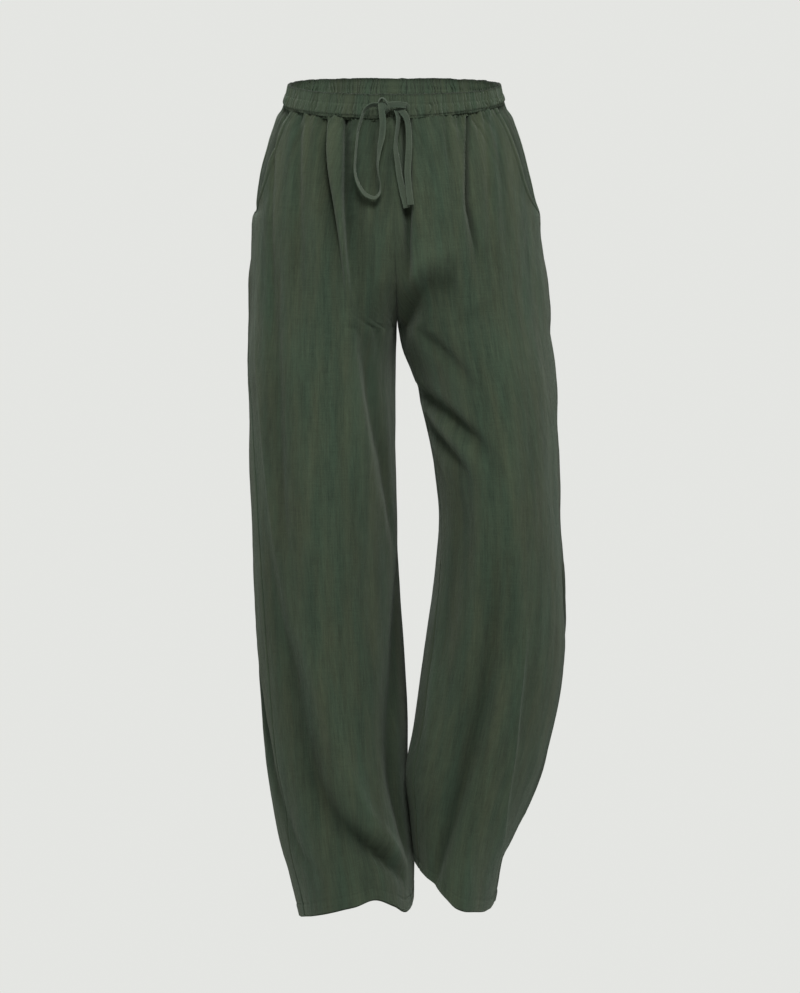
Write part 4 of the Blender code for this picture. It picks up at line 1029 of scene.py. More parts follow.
def woven_material(name, green, brown, sheen):
    """Plain-woven linen: threads over and under, slubs both ways, and streaks of two close greens."""
    material = bpy.data.materials.new(name)
    material.use_nodes = True
    tree = material.node_tree
    shader = tree.nodes["Principled BSDF"]
    n = Nodes(tree)
    grain = n.make("ShaderNodeAttribute", {"attribute_name": "grain"}).node.outputs["Vector"]
    parts = n.make("ShaderNodeSeparateXYZ", i0=grain).node.outputs
    # The threads wander a little, so that the weave isn't a ruled grid.
    wander = n.noise(n.stretched(grain, WANDER), 1.0, 2.0)
    across = n.maths("MULTIPLY_ADD", parts[0], THREADS * math.pi, n.maths("MULTIPLY", wander, WARP_WANDER))
    down = n.maths("MULTIPLY_ADD", parts[1], THREADS * math.pi, n.maths("MULTIPLY", wander, WEFT_WANDER))
    warp = n.maths("ABSOLUTE", n.maths("SINE", across))
    weft = n.maths("ABSOLUTE", n.maths("SINE", down))
    over = n.maths("MULTIPLY", n.maths("COSINE", across), n.maths("COSINE", down))
    over = n.maths("MULTIPLY_ADD", over, 0.5, 0.5)
    weave = n.maths("ADD", n.maths("MULTIPLY", warp, over),
                    n.maths("MULTIPLY", weft, n.maths("SUBTRACT", 1.0, over)))
    tone = n.maths("MULTIPLY_ADD", weave, *WEAVE_TONE)
    height = n.maths("MULTIPLY", weave, WEAVE_HEIGHT)
    for kind in (STREAK, DOWN_SLUB, CROSS_SLUB, GRAIN, CRUMPLE, PATCH):
        noise = n.noise(n.stretched(grain, (kind.across, kind.down, 1.0)), 1.0, kind.detail, NOISE_ROUGH)
        tone = n.maths("MULTIPLY_ADD", n.maths("SUBTRACT", noise, 0.5), kind.tint, tone)
        height = n.maths("MULTIPLY_ADD", noise, kind.height, height)
    # Real wear and painted light and shade, carried by the points, scale the colour.
    wear = n.make("ShaderNodeAttribute", {"attribute_name": "wear"}).node.outputs["Fac"]
    tone = n.maths("MULTIPLY", tone, n.maths("ADD", 1.0, wear))
    hue = n.noise(n.stretched(grain, HUE_CELLS), 1.0, 3.0, NOISE_ROUGH)
    hue = n.make("ShaderNodeMapRange", Value=hue, **dict(zip(("From Min", "From Max"), HUE_LIMITS)))
    colour = n.make("ShaderNodeVectorMath", {"operation": "SCALE"}, i0=n.blend(hue, green, brown), Scale=tone)
    bump = n.make("ShaderNodeBump", Strength=BUMP_STRENGTH, Distance=BUMP_DISTANCE, Height=height)
    tree.links.new(colour, shader.inputs["Base Color"])
    tree.links.new(bump, shader.inputs["Normal"])
    shader.inputs["Roughness"].default_value = 0.9
    # The sheen is cut where shade is painted, so that it too reads as shade.
    sheen_share = n.maths("MULTIPLY_ADD", wear, SHEEN_SHADE_LOSS, 1.0)
    tree.links.new(n.maths("MULTIPLY", n.maths("MAXIMUM", sheen_share, 0.0), sheen), shader.inputs["Sheen Weight"])
    shader.inputs["Sheen Roughness"].default_value = 0.55
    shader.inputs["Sheen Tint"].default_value = SHEEN_TINT
    shader.inputs["Specular IOR Level"].default_value = 0.25
    return material


# --- Cloth pieces --------------------------------------------------------------------------------
FRONT_MIDDLE = 0.25                     # turns of the panels' grain lines
BACK_MIDDLE = 0.75
TUCKED_IN = 0.0015                      # how far the panels run up under the band
LEG_END = 0.022                         # heights over the hem's edge where the leg's wide rows end,
HEM_TOP = 0.0195                        # and between which the hem's close rows lie
HEM_LOW = 0.0008
HEM_ROWS = 14
GRIP = 0.24                             # how tightly the band's seam grips the cloth, on the whole
GRIP_LUMP = Lump(0.011, 1.0, 0.95, 27)
GRIP_LEAST = 0.02
GRIP_EVEN = 0.012                       # how near to the centre seams it is even
CALM_EDGE = 0.004                       # how gradually the calm span starts and ends
CALM_LOSS = 0.9                         # share of the grip that it is without
UNDER_BAND = -0.0018                    # how far in the cloth is tucked under the band, where gripped
TUCK_BELOW = 0.0030
TUCK_RUN = 0.0040
HEM_STITCH = 0.0145                     # the stitch line's height over the edge
HEM_PINCH = -0.0005
HEM_PINCH_WIDTH = 0.0016
HEM_DOUBLED = 0.0004                    # how much the doubled cloth stands out
HEM_DOUBLED_RUN = 0.002
CURL_DEPTH = -0.0009                    # the rounding of the hem's edge
CURL_RADIUS = 0.0012
HEM_WEAR = 0.16
HEM_WEAR_WIDTH = 0.0014
HEM_CLOTH = 0.0006                      # thickness of the turned-up layer
MOUTH_ROWS = (0.0022, 0.0070)           # the two stitch rows' distances from the mouth's edge
MOUTH_GAPE = 0.0032                     # how far the edge stands off
MOUTH_GAPE_WIDTH = 0.012
MOUTH_ARCH = 0.6                        # power of the gape along the mouth: below 1 it is even in the middle
MOUTH_DOUBLED = 0.0009                  # how much thicker the stitched-down facing makes it
MOUTH_PINCH = 0.0009                    # how deep a stitch row lies
MOUTH_PINCH_WIDTH = 0.0011
MOUTH_WEAR = (0.40, 0.0013)             # how much paler the edge is, and how far in
ROW_SHADE = (0.20, 0.0012)              # how much darker the stitch rows are painted, as shade in their pinches, and how wide
# Painted shade on the pocket facing, which lies back behind the mouth's edge.
FACING_PAINTED_SHADE = -0.26
FACING_BEHIND = -0.0056                 # how far behind the form the facing lies under the front
FACING_RISE = 0.0048                    # and how much less at the side seam
FACING_ROWS = 90
FACING_COLUMNS = 34
HEM_COLUMNS = 360

FRONT_CUT = {"flat": (0.34, 1.02), "area": 0.285, "held": "hung", "rests_on": ["waistband"]}
BACK_CUT = {"flat": (0.38, 1.06), "area": 0.325, "held": "hung", "rests_on": ["waistband"]}
FACING_CUT = {"flat": (0.11, 0.16), "area": 0.0100, "held": "hung", "rests_on": ["waistband"]}
BAND_CUT = {"flat": (1.02, 0.066), "held": "gathered", "rests_on": ["front_left", "front_right"]}
HEM_FLAT = (0.53, 0.018)


def side_seam(half, height):
    """The side seam's turn at a height."""
    return curve(half.fork, "side_seam", height)


def inseam(half, height):
    """The inseam's turn at a height: the centre seam's, above the crotch."""
    return np.where(height > CROTCH, 0.0, curve(half.fork, "inseam", height))


def front_edge(half, height):
    """The front's outer edge: the pocket mouth, and the side seam below it."""
    mouth = curve(POCKET_MOUTH, "turn", height)
    return np.where(height > POCKET_MOUTH[-1].height, mouth, side_seam(half, height))


def grain_of(half, turns, heights, middle, layer):
    """The cloth's own coordinates: across from the grain line, down, and the piece's layer."""
    turns, heights = np.broadcast_arrays(turns, heights)
    across = half.arc(turns, heights) - half.arc(middle, heights)
    return np.stack([across, heights, np.full(turns.shape, float(layer))], axis=-1)


def panel_heights():
    """Rows from under the band to the hem's edge, closer together at the top and at the hem."""
    top = np.arange(BAND_BOTTOM + TUCKED_IN, TOP_ZONE, -TOP_ROW_STEP)
    leg = np.arange(TOP_ZONE, HEM_LEVEL + LEG_END, -LEG_ROW_STEP)
    hem = np.linspace(HEM_LEVEL + HEM_TOP, HEM_LEVEL + HEM_LOW, HEM_ROWS)
    return np.concatenate([top, leg, hem])


def panel_turns(half, heights, start, end, columns):
    """Columns that stand closer at the sharp folds, with close ones along both edges."""
    offsets = np.array(EDGE_OFFSETS)
    inner_share = np.linspace(0.0, 1.0, columns - 2 * len(offsets) + 2)[1:-1]
    sharp_lines = [line for line, _, over in half.folds if over]
    rows = []
    for height, first, last in zip(heights, start, end):
        low, high = half.arc(first, height), half.arc(last, height)
        from_low, to_high = low + offsets, high - offsets[::-1]
        spots = np.linspace(from_low[-1], to_high[0], PANEL_SPOTS)
        crowding = np.ones(spots.shape)
        for line in sharp_lines:
            spot, depth = (np.interp(-height, -line[:, 1], line[:, k]) for k in (0, 2))
            crowding += CLOSER * depth / line[:, 2].max() * bell((spots - spot) / CLOSER_REACH)
        reached = np.concatenate([[0.0], np.cumsum((crowding[1:] + crowding[:-1]) / 2.0)])
        between = np.interp(inner_share * reached[-1], reached, spots)
        rows.append(half.turns_at(np.concatenate([from_low, between, to_high]), height))
    return np.array(rows)


def edge_dip(half, turns, heights):
    """The seam grooves along a panel's two edges, as a lift below zero."""
    arcs = half.arc(turns, heights[:, None])
    from_low, to_high = arcs - arcs[:, :1], arcs[:, -1:] - arcs
    return -SEAM_DEPTH * (bell(from_low / SEAM_WIDTH) + bell(to_high / SEAM_WIDTH))


def seam_grip(half, arcs):
    """How tightly the band's seam grips the cloth: it varies from place to place."""
    start = float(half.arc(0.0, BAND_BOTTOM))
    spots = np.stack([arcs, np.zeros(arcs.shape), np.full(arcs.shape, half.sign)], axis=-1)
    grip = np.clip(GRIP + GRIP_LUMP.depth * lumps(spots, GRIP_LUMP), GRIP_LEAST, 1.0)
    from_centre = np.minimum(arcs - start, float(half.arc(1.0, BAND_BOTTOM)) - arcs)
    grip = GRIP + (grip - GRIP) * smooth(from_centre / GRIP_EVEN)
    if half.name == "left":
        from_front = arcs - start
        calm = (smooth((from_front - CALM_SPAN[0]) / CALM_EDGE)
                * smooth((CALM_SPAN[1] - from_front) / CALM_EDGE))
        grip = grip * (1.0 - CALM_LOSS * calm)
    return grip


def band_and_hem_dip(half, turns, heights):
    """The cloth tucks in under the band, and is pinched along the hem's stitch line."""
    grip = seam_grip(half, half.arc(turns, BAND_BOTTOM))
    under_band = UNDER_BAND * smooth((heights - (BAND_BOTTOM - TUCK_BELOW)) / TUCK_RUN)
    over_edge = heights - HEM_LEVEL
    pinch = HEM_PINCH * bell((over_edge - HEM_STITCH) / HEM_PINCH_WIDTH)
    doubled = HEM_DOUBLED * smooth((HEM_STITCH - over_edge) / HEM_DOUBLED_RUN)
    curl = CURL_DEPTH * (1.0 - np.sqrt(np.clip(1.0 - (1.0 - over_edge / CURL_RADIUS) ** 2, 0.0, 1.0)))
    curl = np.where(over_edge < CURL_RADIUS, curl, 0.0)
    return under_band[:, None] * grip + (pinch + doubled + curl)[:, None]


def add_panel(half, name, start, end, columns, middle, cut, material, lift=None, wear=None):
    """A front or back, between its two edges' turns, with what the lift adds to its shape and what the colour
    function adds to its real wear and painted shade.
    """
    heights = panel_heights()
    turns = panel_turns(half, heights, start(half, heights), end(half, heights), columns)
    out = edge_dip(half, turns, heights) + band_and_hem_dip(half, turns, heights)
    if lift is not None:
        out = out + lift(half, turns, heights)
    points = half.cloth(turns, heights[:, None], out)
    grain = grain_of(half, turns, heights[:, None], middle, 0)
    # The colour's tone: real wear on the hem's edge, and painted light and shade from the folds and at the
    # legs' sides.
    wear_and_shade_tone = hem_wear(heights)[:, None] + half.painted_shading(turns, heights[:, None])
    if wear is not None:
        wear_and_shade_tone = wear_and_shade_tone + wear(half, turns, heights)
    add_cloth(name, points, material, grain, wear_and_shade_tone, flip=half.sign < 0, thickness=CLOTH, **cut)


def hem_wear(heights):
    """The hem's folded edge is rubbed paler."""
    return HEM_WEAR * bell((heights - HEM_LEVEL) / HEM_WEAR_WIDTH)


def mouth_lift(from_edge, heights):
    """The pocket mouth's folded edge stands off the facing, and is pinched by its two stitch rows."""
    down = (heights - POCKET_MOUTH[0].height) / (POCKET_MOUTH[-1].height - POCKET_MOUTH[0].height)
    along = np.clip(np.sin(math.pi * np.clip(down, 0.0, 1.0)), 0.0, 1.0) ** MOUTH_ARCH
    doubled = MOUTH_DOUBLED * smooth((MOUTH_ROWS[1] + 0.0012 - from_edge) / 0.0016)
    pinch = sum(bell((from_edge - row) / MOUTH_PINCH_WIDTH) for row in MOUTH_ROWS)
    return along * (MOUTH_GAPE * bell(from_edge / MOUTH_GAPE_WIDTH) + doubled) - MOUTH_PINCH * pinch


def mouth_wear_and_shade(half, turns, heights):
    """The mouth's edge is rubbed paler, which is real wear, and shade is painted along its two stitch rows,
    where the cloth is pinched in.
    """
    arcs = half.arc(turns, heights[:, None])
    from_edge = arcs[:, -1:] - arcs
    rows = sum(bell((from_edge - row) / ROW_SHADE[1]) for row in MOUTH_ROWS)
    here = smooth((heights - POCKET_MOUTH[-1].height) / 0.004)[:, None]
    return here * (MOUTH_WEAR[0] * bell(from_edge / MOUTH_WEAR[1]) - ROW_SHADE[0] * rows)


def mouth_gape(half, turns, heights):
    """The mouth's lift, beside the mouth only."""
    arcs = half.arc(turns, heights[:, None])
    lift = mouth_lift(arcs[:, -1:] - arcs, heights[:, None])
    return np.where((heights > POCKET_MOUTH[-1].height)[:, None], lift, 0.0)


def add_facing(half, material):
    """Self cloth behind the pocket mouth, from under the front to the side seam."""
    heights = np.linspace(BAND_BOTTOM + 0.001, POCKET_LOW, FACING_ROWS)
    mouth = curve(POCKET_MOUTH, "turn", heights)
    shares = np.linspace(0.0, 1.0, FACING_COLUMNS)[None, :]
    start, end = (mouth - POCKET_TUCK)[:, None], side_seam(half, heights)[:, None]
    turns = start + (end - start) * shares
    past_mouth = (turns - mouth[:, None]) / np.maximum(end - mouth[:, None], 0.004)
    inward = FACING_BEHIND + FACING_RISE * smooth(past_mouth)
    inward = inward + 0.3 * edge_dip(half, turns, heights) - 0.0004
    points = half.cloth(turns, heights[:, None], inward)
    grain = grain_of(half, turns, heights[:, None], FRONT_MIDDLE, 1)
    # The facing's colour is darkened evenly: painted shade.
    add_cloth("pocket_facing_" + half.name, points, material, grain, np.full(turns.shape, FACING_PAINTED_SHADE),
              flip=half.sign < 0, thickness=CLOTH, **FACING_CUT)


def add_hem(half, material):
    """The turned-up edge: it starts under the leg's curled edge and runs up inside."""
    turns = np.linspace(0.0, 1.0, HEM_COLUMNS + 1)[:-1]
    angles = np.linspace(math.pi / 2, math.pi, 5)
    drops = [(-0.0003 - 0.0006 * math.sin(a), -0.0010 + 0.0010 * math.cos(a)) for a in angles]
    drops += [(rise, -0.0020) for rise in np.linspace(0.0015, HEM_DEPTH, 8)]
    heights = np.array([HEM_LEVEL + 0.0010 + rise for rise, _ in drops])
    lift = np.array([inward for _, inward in drops])[:, None]
    turn_grid = np.broadcast_to(turns, (len(heights), len(turns)))
    points = half.cloth(turn_grid, heights[:, None], np.broadcast_to(lift, turn_grid.shape))
    grain = grain_of(half, turn_grid, heights[:, None], FRONT_MIDDLE, 2)
    add_cloth("hem_" + half.name, points, material, grain, None, closed=True, flip=half.sign > 0,
              thickness=HEM_CLOTH, flat=HEM_FLAT, held="folded", rests_on=["front_" + half.name])


# --- Waistband -----------------------------------------------------------------------------------
BAND_STITCH = -0.0128                   # height of the row of stitches near the band's lower edge
BAND_FOLD = 0.0017                      # radius of its folded top edge
BAND_BELOW = 0.0025                     # how much lower its inner layer ends
RIB_SEED = 5
# The fine ribs outside, the wide ones outside and the ones inside.
RIBS = table(
    "pitch spread least bias power",
    (0.0026, 0.40, 0.00, 1.5, 0.60), (0.0047, 0.42, 0.25, 1.0, 0.55), (0.0046, 0.36, 0.40, 1.0, 0.60),
)
FLAT_SPAN = 0.016                       # ungathered stretch inside, at the centre back
EDGE_WAVE = Lump(0.007, 1.0, 0.0008, 33)
WAVE_LOW = 0.005                        # how far from the band's lower edge the wave is felt
WAVE_HIGH = 0.004                       # and from its top edge
WAVE_TOP = 0.8                          # share of the wave at the top
INNER_SEAM = -0.0044                    # how far in the band's inner layer is stitched to the panels
INNER_RUN = (0.0060, 0.0045)            # height over the lower edge where it starts to, and how gradually
WIDE_RIB = (0.0042, -0.0012)            # how far ribs stand out, and how much more over the middle row
FINE_RIB = (0.0010, 0.0007)
INNER_RIB = 0.0044
ROW_BLEND = 0.0030                      # how near to the middle row the ribs change
LOW_RIBS = 0.45                         # share of the wide ribs' lift at the lower edge
LOW_RUN = 0.0040
BELLY = 0.0005                          # fullness of the cloth between the rows
PINCH_WIDTH = 0.0009
EDGE_WIDTH = 0.0016
CHANNEL_PINCH = 0.0004
STITCH_PINCH = 0.0007
EDGE_DIP = 0.0012                       # how far the gripping seam draws the lower edge in
OUTER_INSET = 0.0034                    # how far the creases' floor lies behind the plain form
RIB_WANDER = (Lump(0.010, 0.013, 0.0021, 31), Lump(0.004, 0.006, 0.0009, 32))
GATHERED = 1.3                          # cloth in a metre of the band's ring
CREASE_PAINTED_SHADE = (0.56, -0.0012, 0.0020)   # painted shade in the creases: how much darker, from what lift and how gradually
INNER_CREASE_SHADE = (0.55, -0.0050, 0.0026)  # the same painted shade inside the band
OUTER_PALE = 0.05                       # how much paler the band is outside
INNER_PAINTED_LIGHT = 0.38                       # painted light inside the band, under its top, which lies in shade
INNER_TOP = 0.0030
RIM_PAINTED_SHADE = (0.50, 0.0020)               # how much darker the top edge is painted, as shade, and how far down
# painted shade in the buttonholes, darker than their shallow dents would make them
HOLE_PAINTED_SHADE = 0.7


def crease_places(rng, length, pitch, spread):
    """Uneven places round the ring."""
    count = int(round(length / pitch))
    return np.sort((np.arange(count) + rng.uniform(-spread, spread, count)) * length / count)


def ribs(s, length, places, depths, power):
    """Rounded ribs between creases: 1 on a rib, and less in a crease by its depth."""
    ring = np.concatenate([places, [places[0] + length]])
    s = np.mod(s - places[0], length) + places[0]
    k = np.clip(np.searchsorted(ring, s, side="right") - 1, 0, len(places) - 1)
    share = (s - ring[k]) / (ring[k + 1] - ring[k])
    nearest = np.where(share < 0.5, k, (k + 1) % len(places))
    return 1.0 - depths[nearest] * (1.0 - np.sin(math.pi * share) ** power)


def band_rows():
    """Heights up the outer face, over the folded edge and down the inner face, with how far inside each
    row is, from 0 to 1."""
    top = BAND_TOP - BAND_FOLD
    near_stitch = [line + step for line in (CHANNEL, BAND_STITCH) for step in (-0.0007, 0.0, 0.0007)]
    up = np.sort(np.concatenate([np.linspace(BAND_BOTTOM, top, 20), near_stitch]))
    over = np.linspace(0.0, math.pi, 8)[1:-1]
    down = np.linspace(top, BAND_BOTTOM - BAND_BELOW, 13)
    heights = np.concatenate([up, top + BAND_FOLD * np.sin(over), down])
    return heights, np.concatenate([np.zeros(len(up)), (1.0 - np.cos(over)) / 2.0, np.ones(len(down))])


def band_relief(s, height, inside, length, grip, rng):
    """How far the band's cloth stands out: uneven ribs from edge to edge, finer over the middle row."""
    spots = np.stack([s, inside * 0.05, height * 1.2], axis=-1)
    bent = s
    for lump in RIB_WANDER:
        bent = bent + lump.depth * lumps(spots, lump)
    creases = [crease_places(rng, length, row.pitch, row.spread) for row in RIBS]
    fine_ribs, wide_ribs, inner_ribs = [
        ribs(bent, length, places, rng.uniform(row.least, 1.0, len(places)) ** row.bias, row.power)
        for row, places in zip(RIBS, creases)]
    upper = smooth((height - CHANNEL + ROW_BLEND) / (2.0 * ROW_BLEND))
    near_edge = LOW_RIBS + (1.0 - LOW_RIBS) * smooth((height - BAND_BOTTOM) / LOW_RUN)
    wide, fine = (rib + more * upper for rib, more in (WIDE_RIB, FINE_RIB))
    outer = wide * wide_ribs * near_edge + fine * fine_ribs
    belly = np.sin(math.pi * np.clip((height - BAND_BOTTOM) / (CHANNEL - BAND_BOTTOM), 0.0, 1.0))
    pinch = bell((height - CHANNEL) / PINCH_WIDTH)
    low_pinch = bell((height - BAND_STITCH) / PINCH_WIDTH)
    edge = bell((height - BAND_BOTTOM) / EDGE_WIDTH)
    out = (outer + BELLY * belly - CHANNEL_PINCH * pinch - STITCH_PINCH * low_pinch
           - EDGE_DIP * edge * grip - OUTER_INSET)
    gathered = smooth(np.abs(np.mod(s, length) - length / 2) / FLAT_SPAN * 2.0 - 0.6)
    back = -0.0006 + (0.0026 - INNER_RIB * inner_ribs) * gathered + 0.0008 * pinch - 2 * BAND_FOLD
    seam = smooth((BAND_BOTTOM + INNER_RUN[0] - height) / INNER_RUN[1])
    back = back + seam * (np.minimum(back, INNER_SEAM) - back)
    return (1.0 - inside) * out + inside * back


def add_waistband(right, left, material):
    """The gathered casing: one strip folded over its elastic. Returns its two rows of stitches, as (points,
    normals)."""
    heights, inside = band_rows()
    length = float(sum(half.arc(1.0, 0.0) - half.arc(0.0, 0.0) for half in (left, right)))
    half_length = length / 2
    s = np.arange(BAND_COLUMNS) * length / BAND_COLUMNS
    s_grid, z_grid = np.broadcast_arrays(s[None, :], heights[:, None])
    in_grid = np.broadcast_to(inside[:, None], s_grid.shape)
    sides = []
    grip = np.empty(BAND_COLUMNS)
    for half, chosen in ((left, s < half_length), (right, s >= half_length)):
        from_front = np.where(s < half_length, s, length - s)[chosen]
        girth = float(half.arc(1.0, 0.0) - half.arc(0.0, 0.0))
        turns = half.turns_at(half.arc(0.0, 0.0) + from_front * girth / half_length, 0.0)
        grip[chosen] = seam_grip(half, half.arc(turns, BAND_BOTTOM))
        sides.append((half, chosen, turns))
    out = band_relief(s_grid, z_grid, in_grid, length, grip[None, :], np.random.default_rng(RIB_SEED))
    from_centre = np.where(s_grid < half_length, s_grid, s_grid - length)
    hole = sum(np.exp(-((from_centre - spot.s) / spot.wide) ** 4 - ((z_grid - spot.level) / spot.high) ** 4)
               for spot in BUTTONHOLES) * (in_grid == 0.0)
    out = out - HOLE_DEPTH * hole
    spots = np.stack([s_grid, in_grid * 0.0, z_grid * 0.0], axis=-1)
    edge_wave = EDGE_WAVE.depth * lumps(spots, EDGE_WAVE)
    points, normals = np.empty(s_grid.shape + (3,)), np.empty(s_grid.shape + (3,))
    for half, chosen, turns in sides:
        turn_grid, level = np.broadcast_arrays(turns[None, :], heights[:, None])
        normal = half.outward(turn_grid, np.minimum(level, BAND_TOP - 0.002))
        moved = half.point(turn_grid, half.seam_height(turn_grid, level)) + normal * out[:, chosen, None]
        bottom = smooth((BAND_BOTTOM + WAVE_LOW - level) / WAVE_LOW)
        top = smooth((level - BAND_TOP + WAVE_HIGH) / WAVE_HIGH)
        moved[..., 2] += edge_wave[:, chosen] * (bottom + WAVE_TOP * top)
        points[:, chosen], normals[:, chosen] = tilted(moved), normal
    grain = np.stack([s_grid * GATHERED, z_grid + 0.05 * in_grid, np.full(s_grid.shape, 3.0)], axis=-1)
    # Painted light and shade in the band's colour: shade in its creases, along its top edge and in the
    # buttonholes, and light inside under its top.
    inner_rows = in_grid * smooth((BAND_TOP - INNER_TOP - z_grid) / INNER_TOP)
    darker, start, run = CREASE_PAINTED_SHADE
    creased = (1.0 - in_grid) * (darker * smooth((start - out) / run) - OUTER_PALE)
    flat = smooth(1.6 - np.abs(s_grid - half_length) / FLAT_SPAN * 2.0)
    darker, start, run = INNER_CREASE_SHADE
    creased = creased + darker * inner_rows * smooth((out - start) / run) * (1.0 - flat)
    rim_shade = RIM_PAINTED_SHADE[0] * bell((z_grid - BAND_TOP) / RIM_PAINTED_SHADE[1])
    wear_and_shade_tone = INNER_PAINTED_LIGHT * inner_rows - creased - rim_shade - HOLE_PAINTED_SHADE * hole
    add_cloth("waistband", points, material, grain, wear_and_shade_tone, closed=True, flip=True, **BAND_CUT)
    lines = []
    for line in (CHANNEL, BAND_STITCH):
        row = int(np.argmin(np.where(inside == 0.0, np.abs(heights - line), 1.0)))
        lines.append((points[row], normals[row]))
    return lines


# --- Stitches ------------------------------------------------------------------------------------
STITCH_PITCH = 0.0029
BAND_STITCH_PITCH = 0.0026
BARTACK_PITCH = 0.0012
BARTACK_ROWS = (-0.0005, 0.0, 0.0005)
STITCH_LENGTH = 0.0022
STITCH_WIDTH = 0.00055


def stitch_frames(points, normals, pitch=STITCH_PITCH):
    """Middles, directions and normals of stitches along a line of points."""
    steps = np.concatenate([[0.0], np.cumsum(np.linalg.norm(np.diff(points, axis=0), axis=1))])
    middles = np.arange(pitch / 2, steps[-1], pitch)
    ends = [np.stack([np.interp(middles + off, steps, points[:, k]) for k in range(3)], axis=-1)
            for off in (-STITCH_LENGTH / 2, STITCH_LENGTH / 2)]
    normal = np.stack([np.interp(middles, steps, normals[:, k]) for k in range(3)], axis=-1)
    along = ends[1] - ends[0]
    return ((ends[0] + ends[1]) / 2, along / np.linalg.norm(along, axis=1, keepdims=True), normal)


def add_stitches(name, lines, material):
    """One mesh of small rounded stitches: each has two ends, two sides, a top and a bottom."""
    middles, along, normal = (np.concatenate(parts) for parts in zip(*lines))
    side = np.cross(normal, along)
    side /= np.linalg.norm(side, axis=1, keepdims=True)
    lift = normal * STITCH_WIDTH * 0.35
    corners = np.stack([middles - along * STITCH_LENGTH / 2 - lift, middles + side * STITCH_WIDTH / 2,
                        middles + along * STITCH_LENGTH / 2 - lift, middles - side * STITCH_WIDTH / 2,
                        middles + normal * STITCH_WIDTH * 0.55, middles - normal * STITCH_WIDTH * 0.5],
                       axis=1)
    pattern = np.array([(0, 1, 4), (1, 2, 4), (2, 3, 4), (3, 0, 4),
                        (1, 0, 5), (2, 1, 5), (3, 2, 5), (0, 3, 5)])
    faces = (pattern[None] + 6 * np.arange(len(middles))[:, None, None]).reshape(-1, 3)
    piece = mesh_piece(name, corners, faces, material, np.repeat(middles, 6, axis=0))


def cloth_line(half, turns, heights, lift):
    """Points and normals along a line on the cloth."""
    turns, heights = np.broadcast_arrays(turns, heights)
    points = half.cloth(turns, heights, lift)
    return points, half.outward(turns, half.hem_height(turns, heights))


def pocket_lines(half):
    """The mouth's double row of stitches, and the bartacks across its two ends."""
    heights = np.linspace(BAND_BOTTOM - 0.001, POCKET_MOUTH[-1].height, 120)
    mouth = half.arc(curve(POCKET_MOUTH, "turn", heights), heights)
    lines = []
    for inset in MOUTH_ROWS:
        turns = np.array([half.turns_at(arc - inset, level) for arc, level in zip(mouth, heights)])
        lines.append(stitch_frames(*cloth_line(half, turns, heights, mouth_lift(inset, heights) + 0.0001)))
    for level in (BAND_BOTTOM - 0.006, POCKET_MOUTH[-1].height + 0.003):
        edge = float(half.arc(curve(POCKET_MOUTH, "turn", level), level))
        for row in BARTACK_ROWS:
            arcs = np.linspace(edge - 0.0075, edge - 0.0004, 12)
            turns = half.turns_at(arcs, level)
            lines.append(stitch_frames(*cloth_line(half, turns, level + row, 0.0007), pitch=BARTACK_PITCH))
    return lines


def hem_lines(half):
    """The single row of stitches over the hem's edge."""
    turns = np.linspace(0.0, 1.0, 700)
    return [stitch_frames(*cloth_line(half, turns, HEM_LEVEL + HEM_STITCH, -0.0004))]


# --- The tie -------------------------------------------------------------------------------------
TIE_PIECES = 8                          # between two stops of a route
TIE_EDGE_WEAR = 0.30


def loft_along(name, route, section, material):
    """The section, as (width, thickness) pairs, carried along a route. Returns the piece and its path."""
    path = smooth_route(route, TIE_PIECES)
    places = path[:, :3]
    tangents = np.gradient(places, axis=0)
    tangents /= np.linalg.norm(tangents, axis=1, keepdims=True)
    across = np.cross(tangents, np.array([0.0, -1.0, 0.0]))
    across /= np.linalg.norm(across, axis=1, keepdims=True)
    facing = np.cross(across, tangents)
    twist = np.radians(path[:, 3])[:, None]
    wide = across * np.cos(twist) + facing * np.sin(twist)
    thick = np.cross(tangents, wide)
    section = np.array(section)
    rings = (places[:, None, :] + wide[:, None, :] * section[None, :, :1]
             + thick[:, None, :] * section[None, :, 1:])
    faces = grid_faces(len(rings), len(section), closed=True, flip=False).tolist()
    count = len(section)
    faces += [list(range(count)), list(range(rings.size // 3 - 1, rings.size // 3 - count - 1, -1))]
    steps = np.concatenate([[0.0], np.cumsum(np.linalg.norm(np.diff(places, axis=0), axis=1))])
    grain = np.stack([np.broadcast_to(section[None, :, 0], rings.shape[:2]),
                      np.broadcast_to(steps[:, None], rings.shape[:2]),
                      np.full(rings.shape[:2], 4.0)], axis=-1)
    edges = np.abs(section[:, 0]) / np.abs(section[:, 0]).max()
    wear_and_shade_tone = np.broadcast_to(TIE_EDGE_WEAR * smooth((edges - 0.6) / 0.4)[None, :] - 0.06, rings.shape[:2])
    return mesh_piece(name, rings, faces, material, grain, wear_and_shade_tone), places


def tape_section(width=TIE_WIDTH):
    """A flat tape with rounded, slightly thicker edges."""
    half_width, half_thickness = width / 2, TIE_THICKNESS / 2
    upper = [(half_width * s, half_thickness * (0.55 + 0.6 * abs(s) ** 3 - 0.75 * abs(s) ** 12))
             for s in np.linspace(-1.0, 1.0, 9)]
    return upper + [(w, -t) for w, t in reversed(upper)]


def join_pieces(name, pieces):
    """One object from several, with their attributes."""
    with bpy.context.temp_override(active_object=pieces[0], selected_editable_objects=pieces):
        bpy.ops.object.join()
    pieces[0].name = pieces[0].data.name = name
    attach(pieces[0], "root")
    return pieces[0]


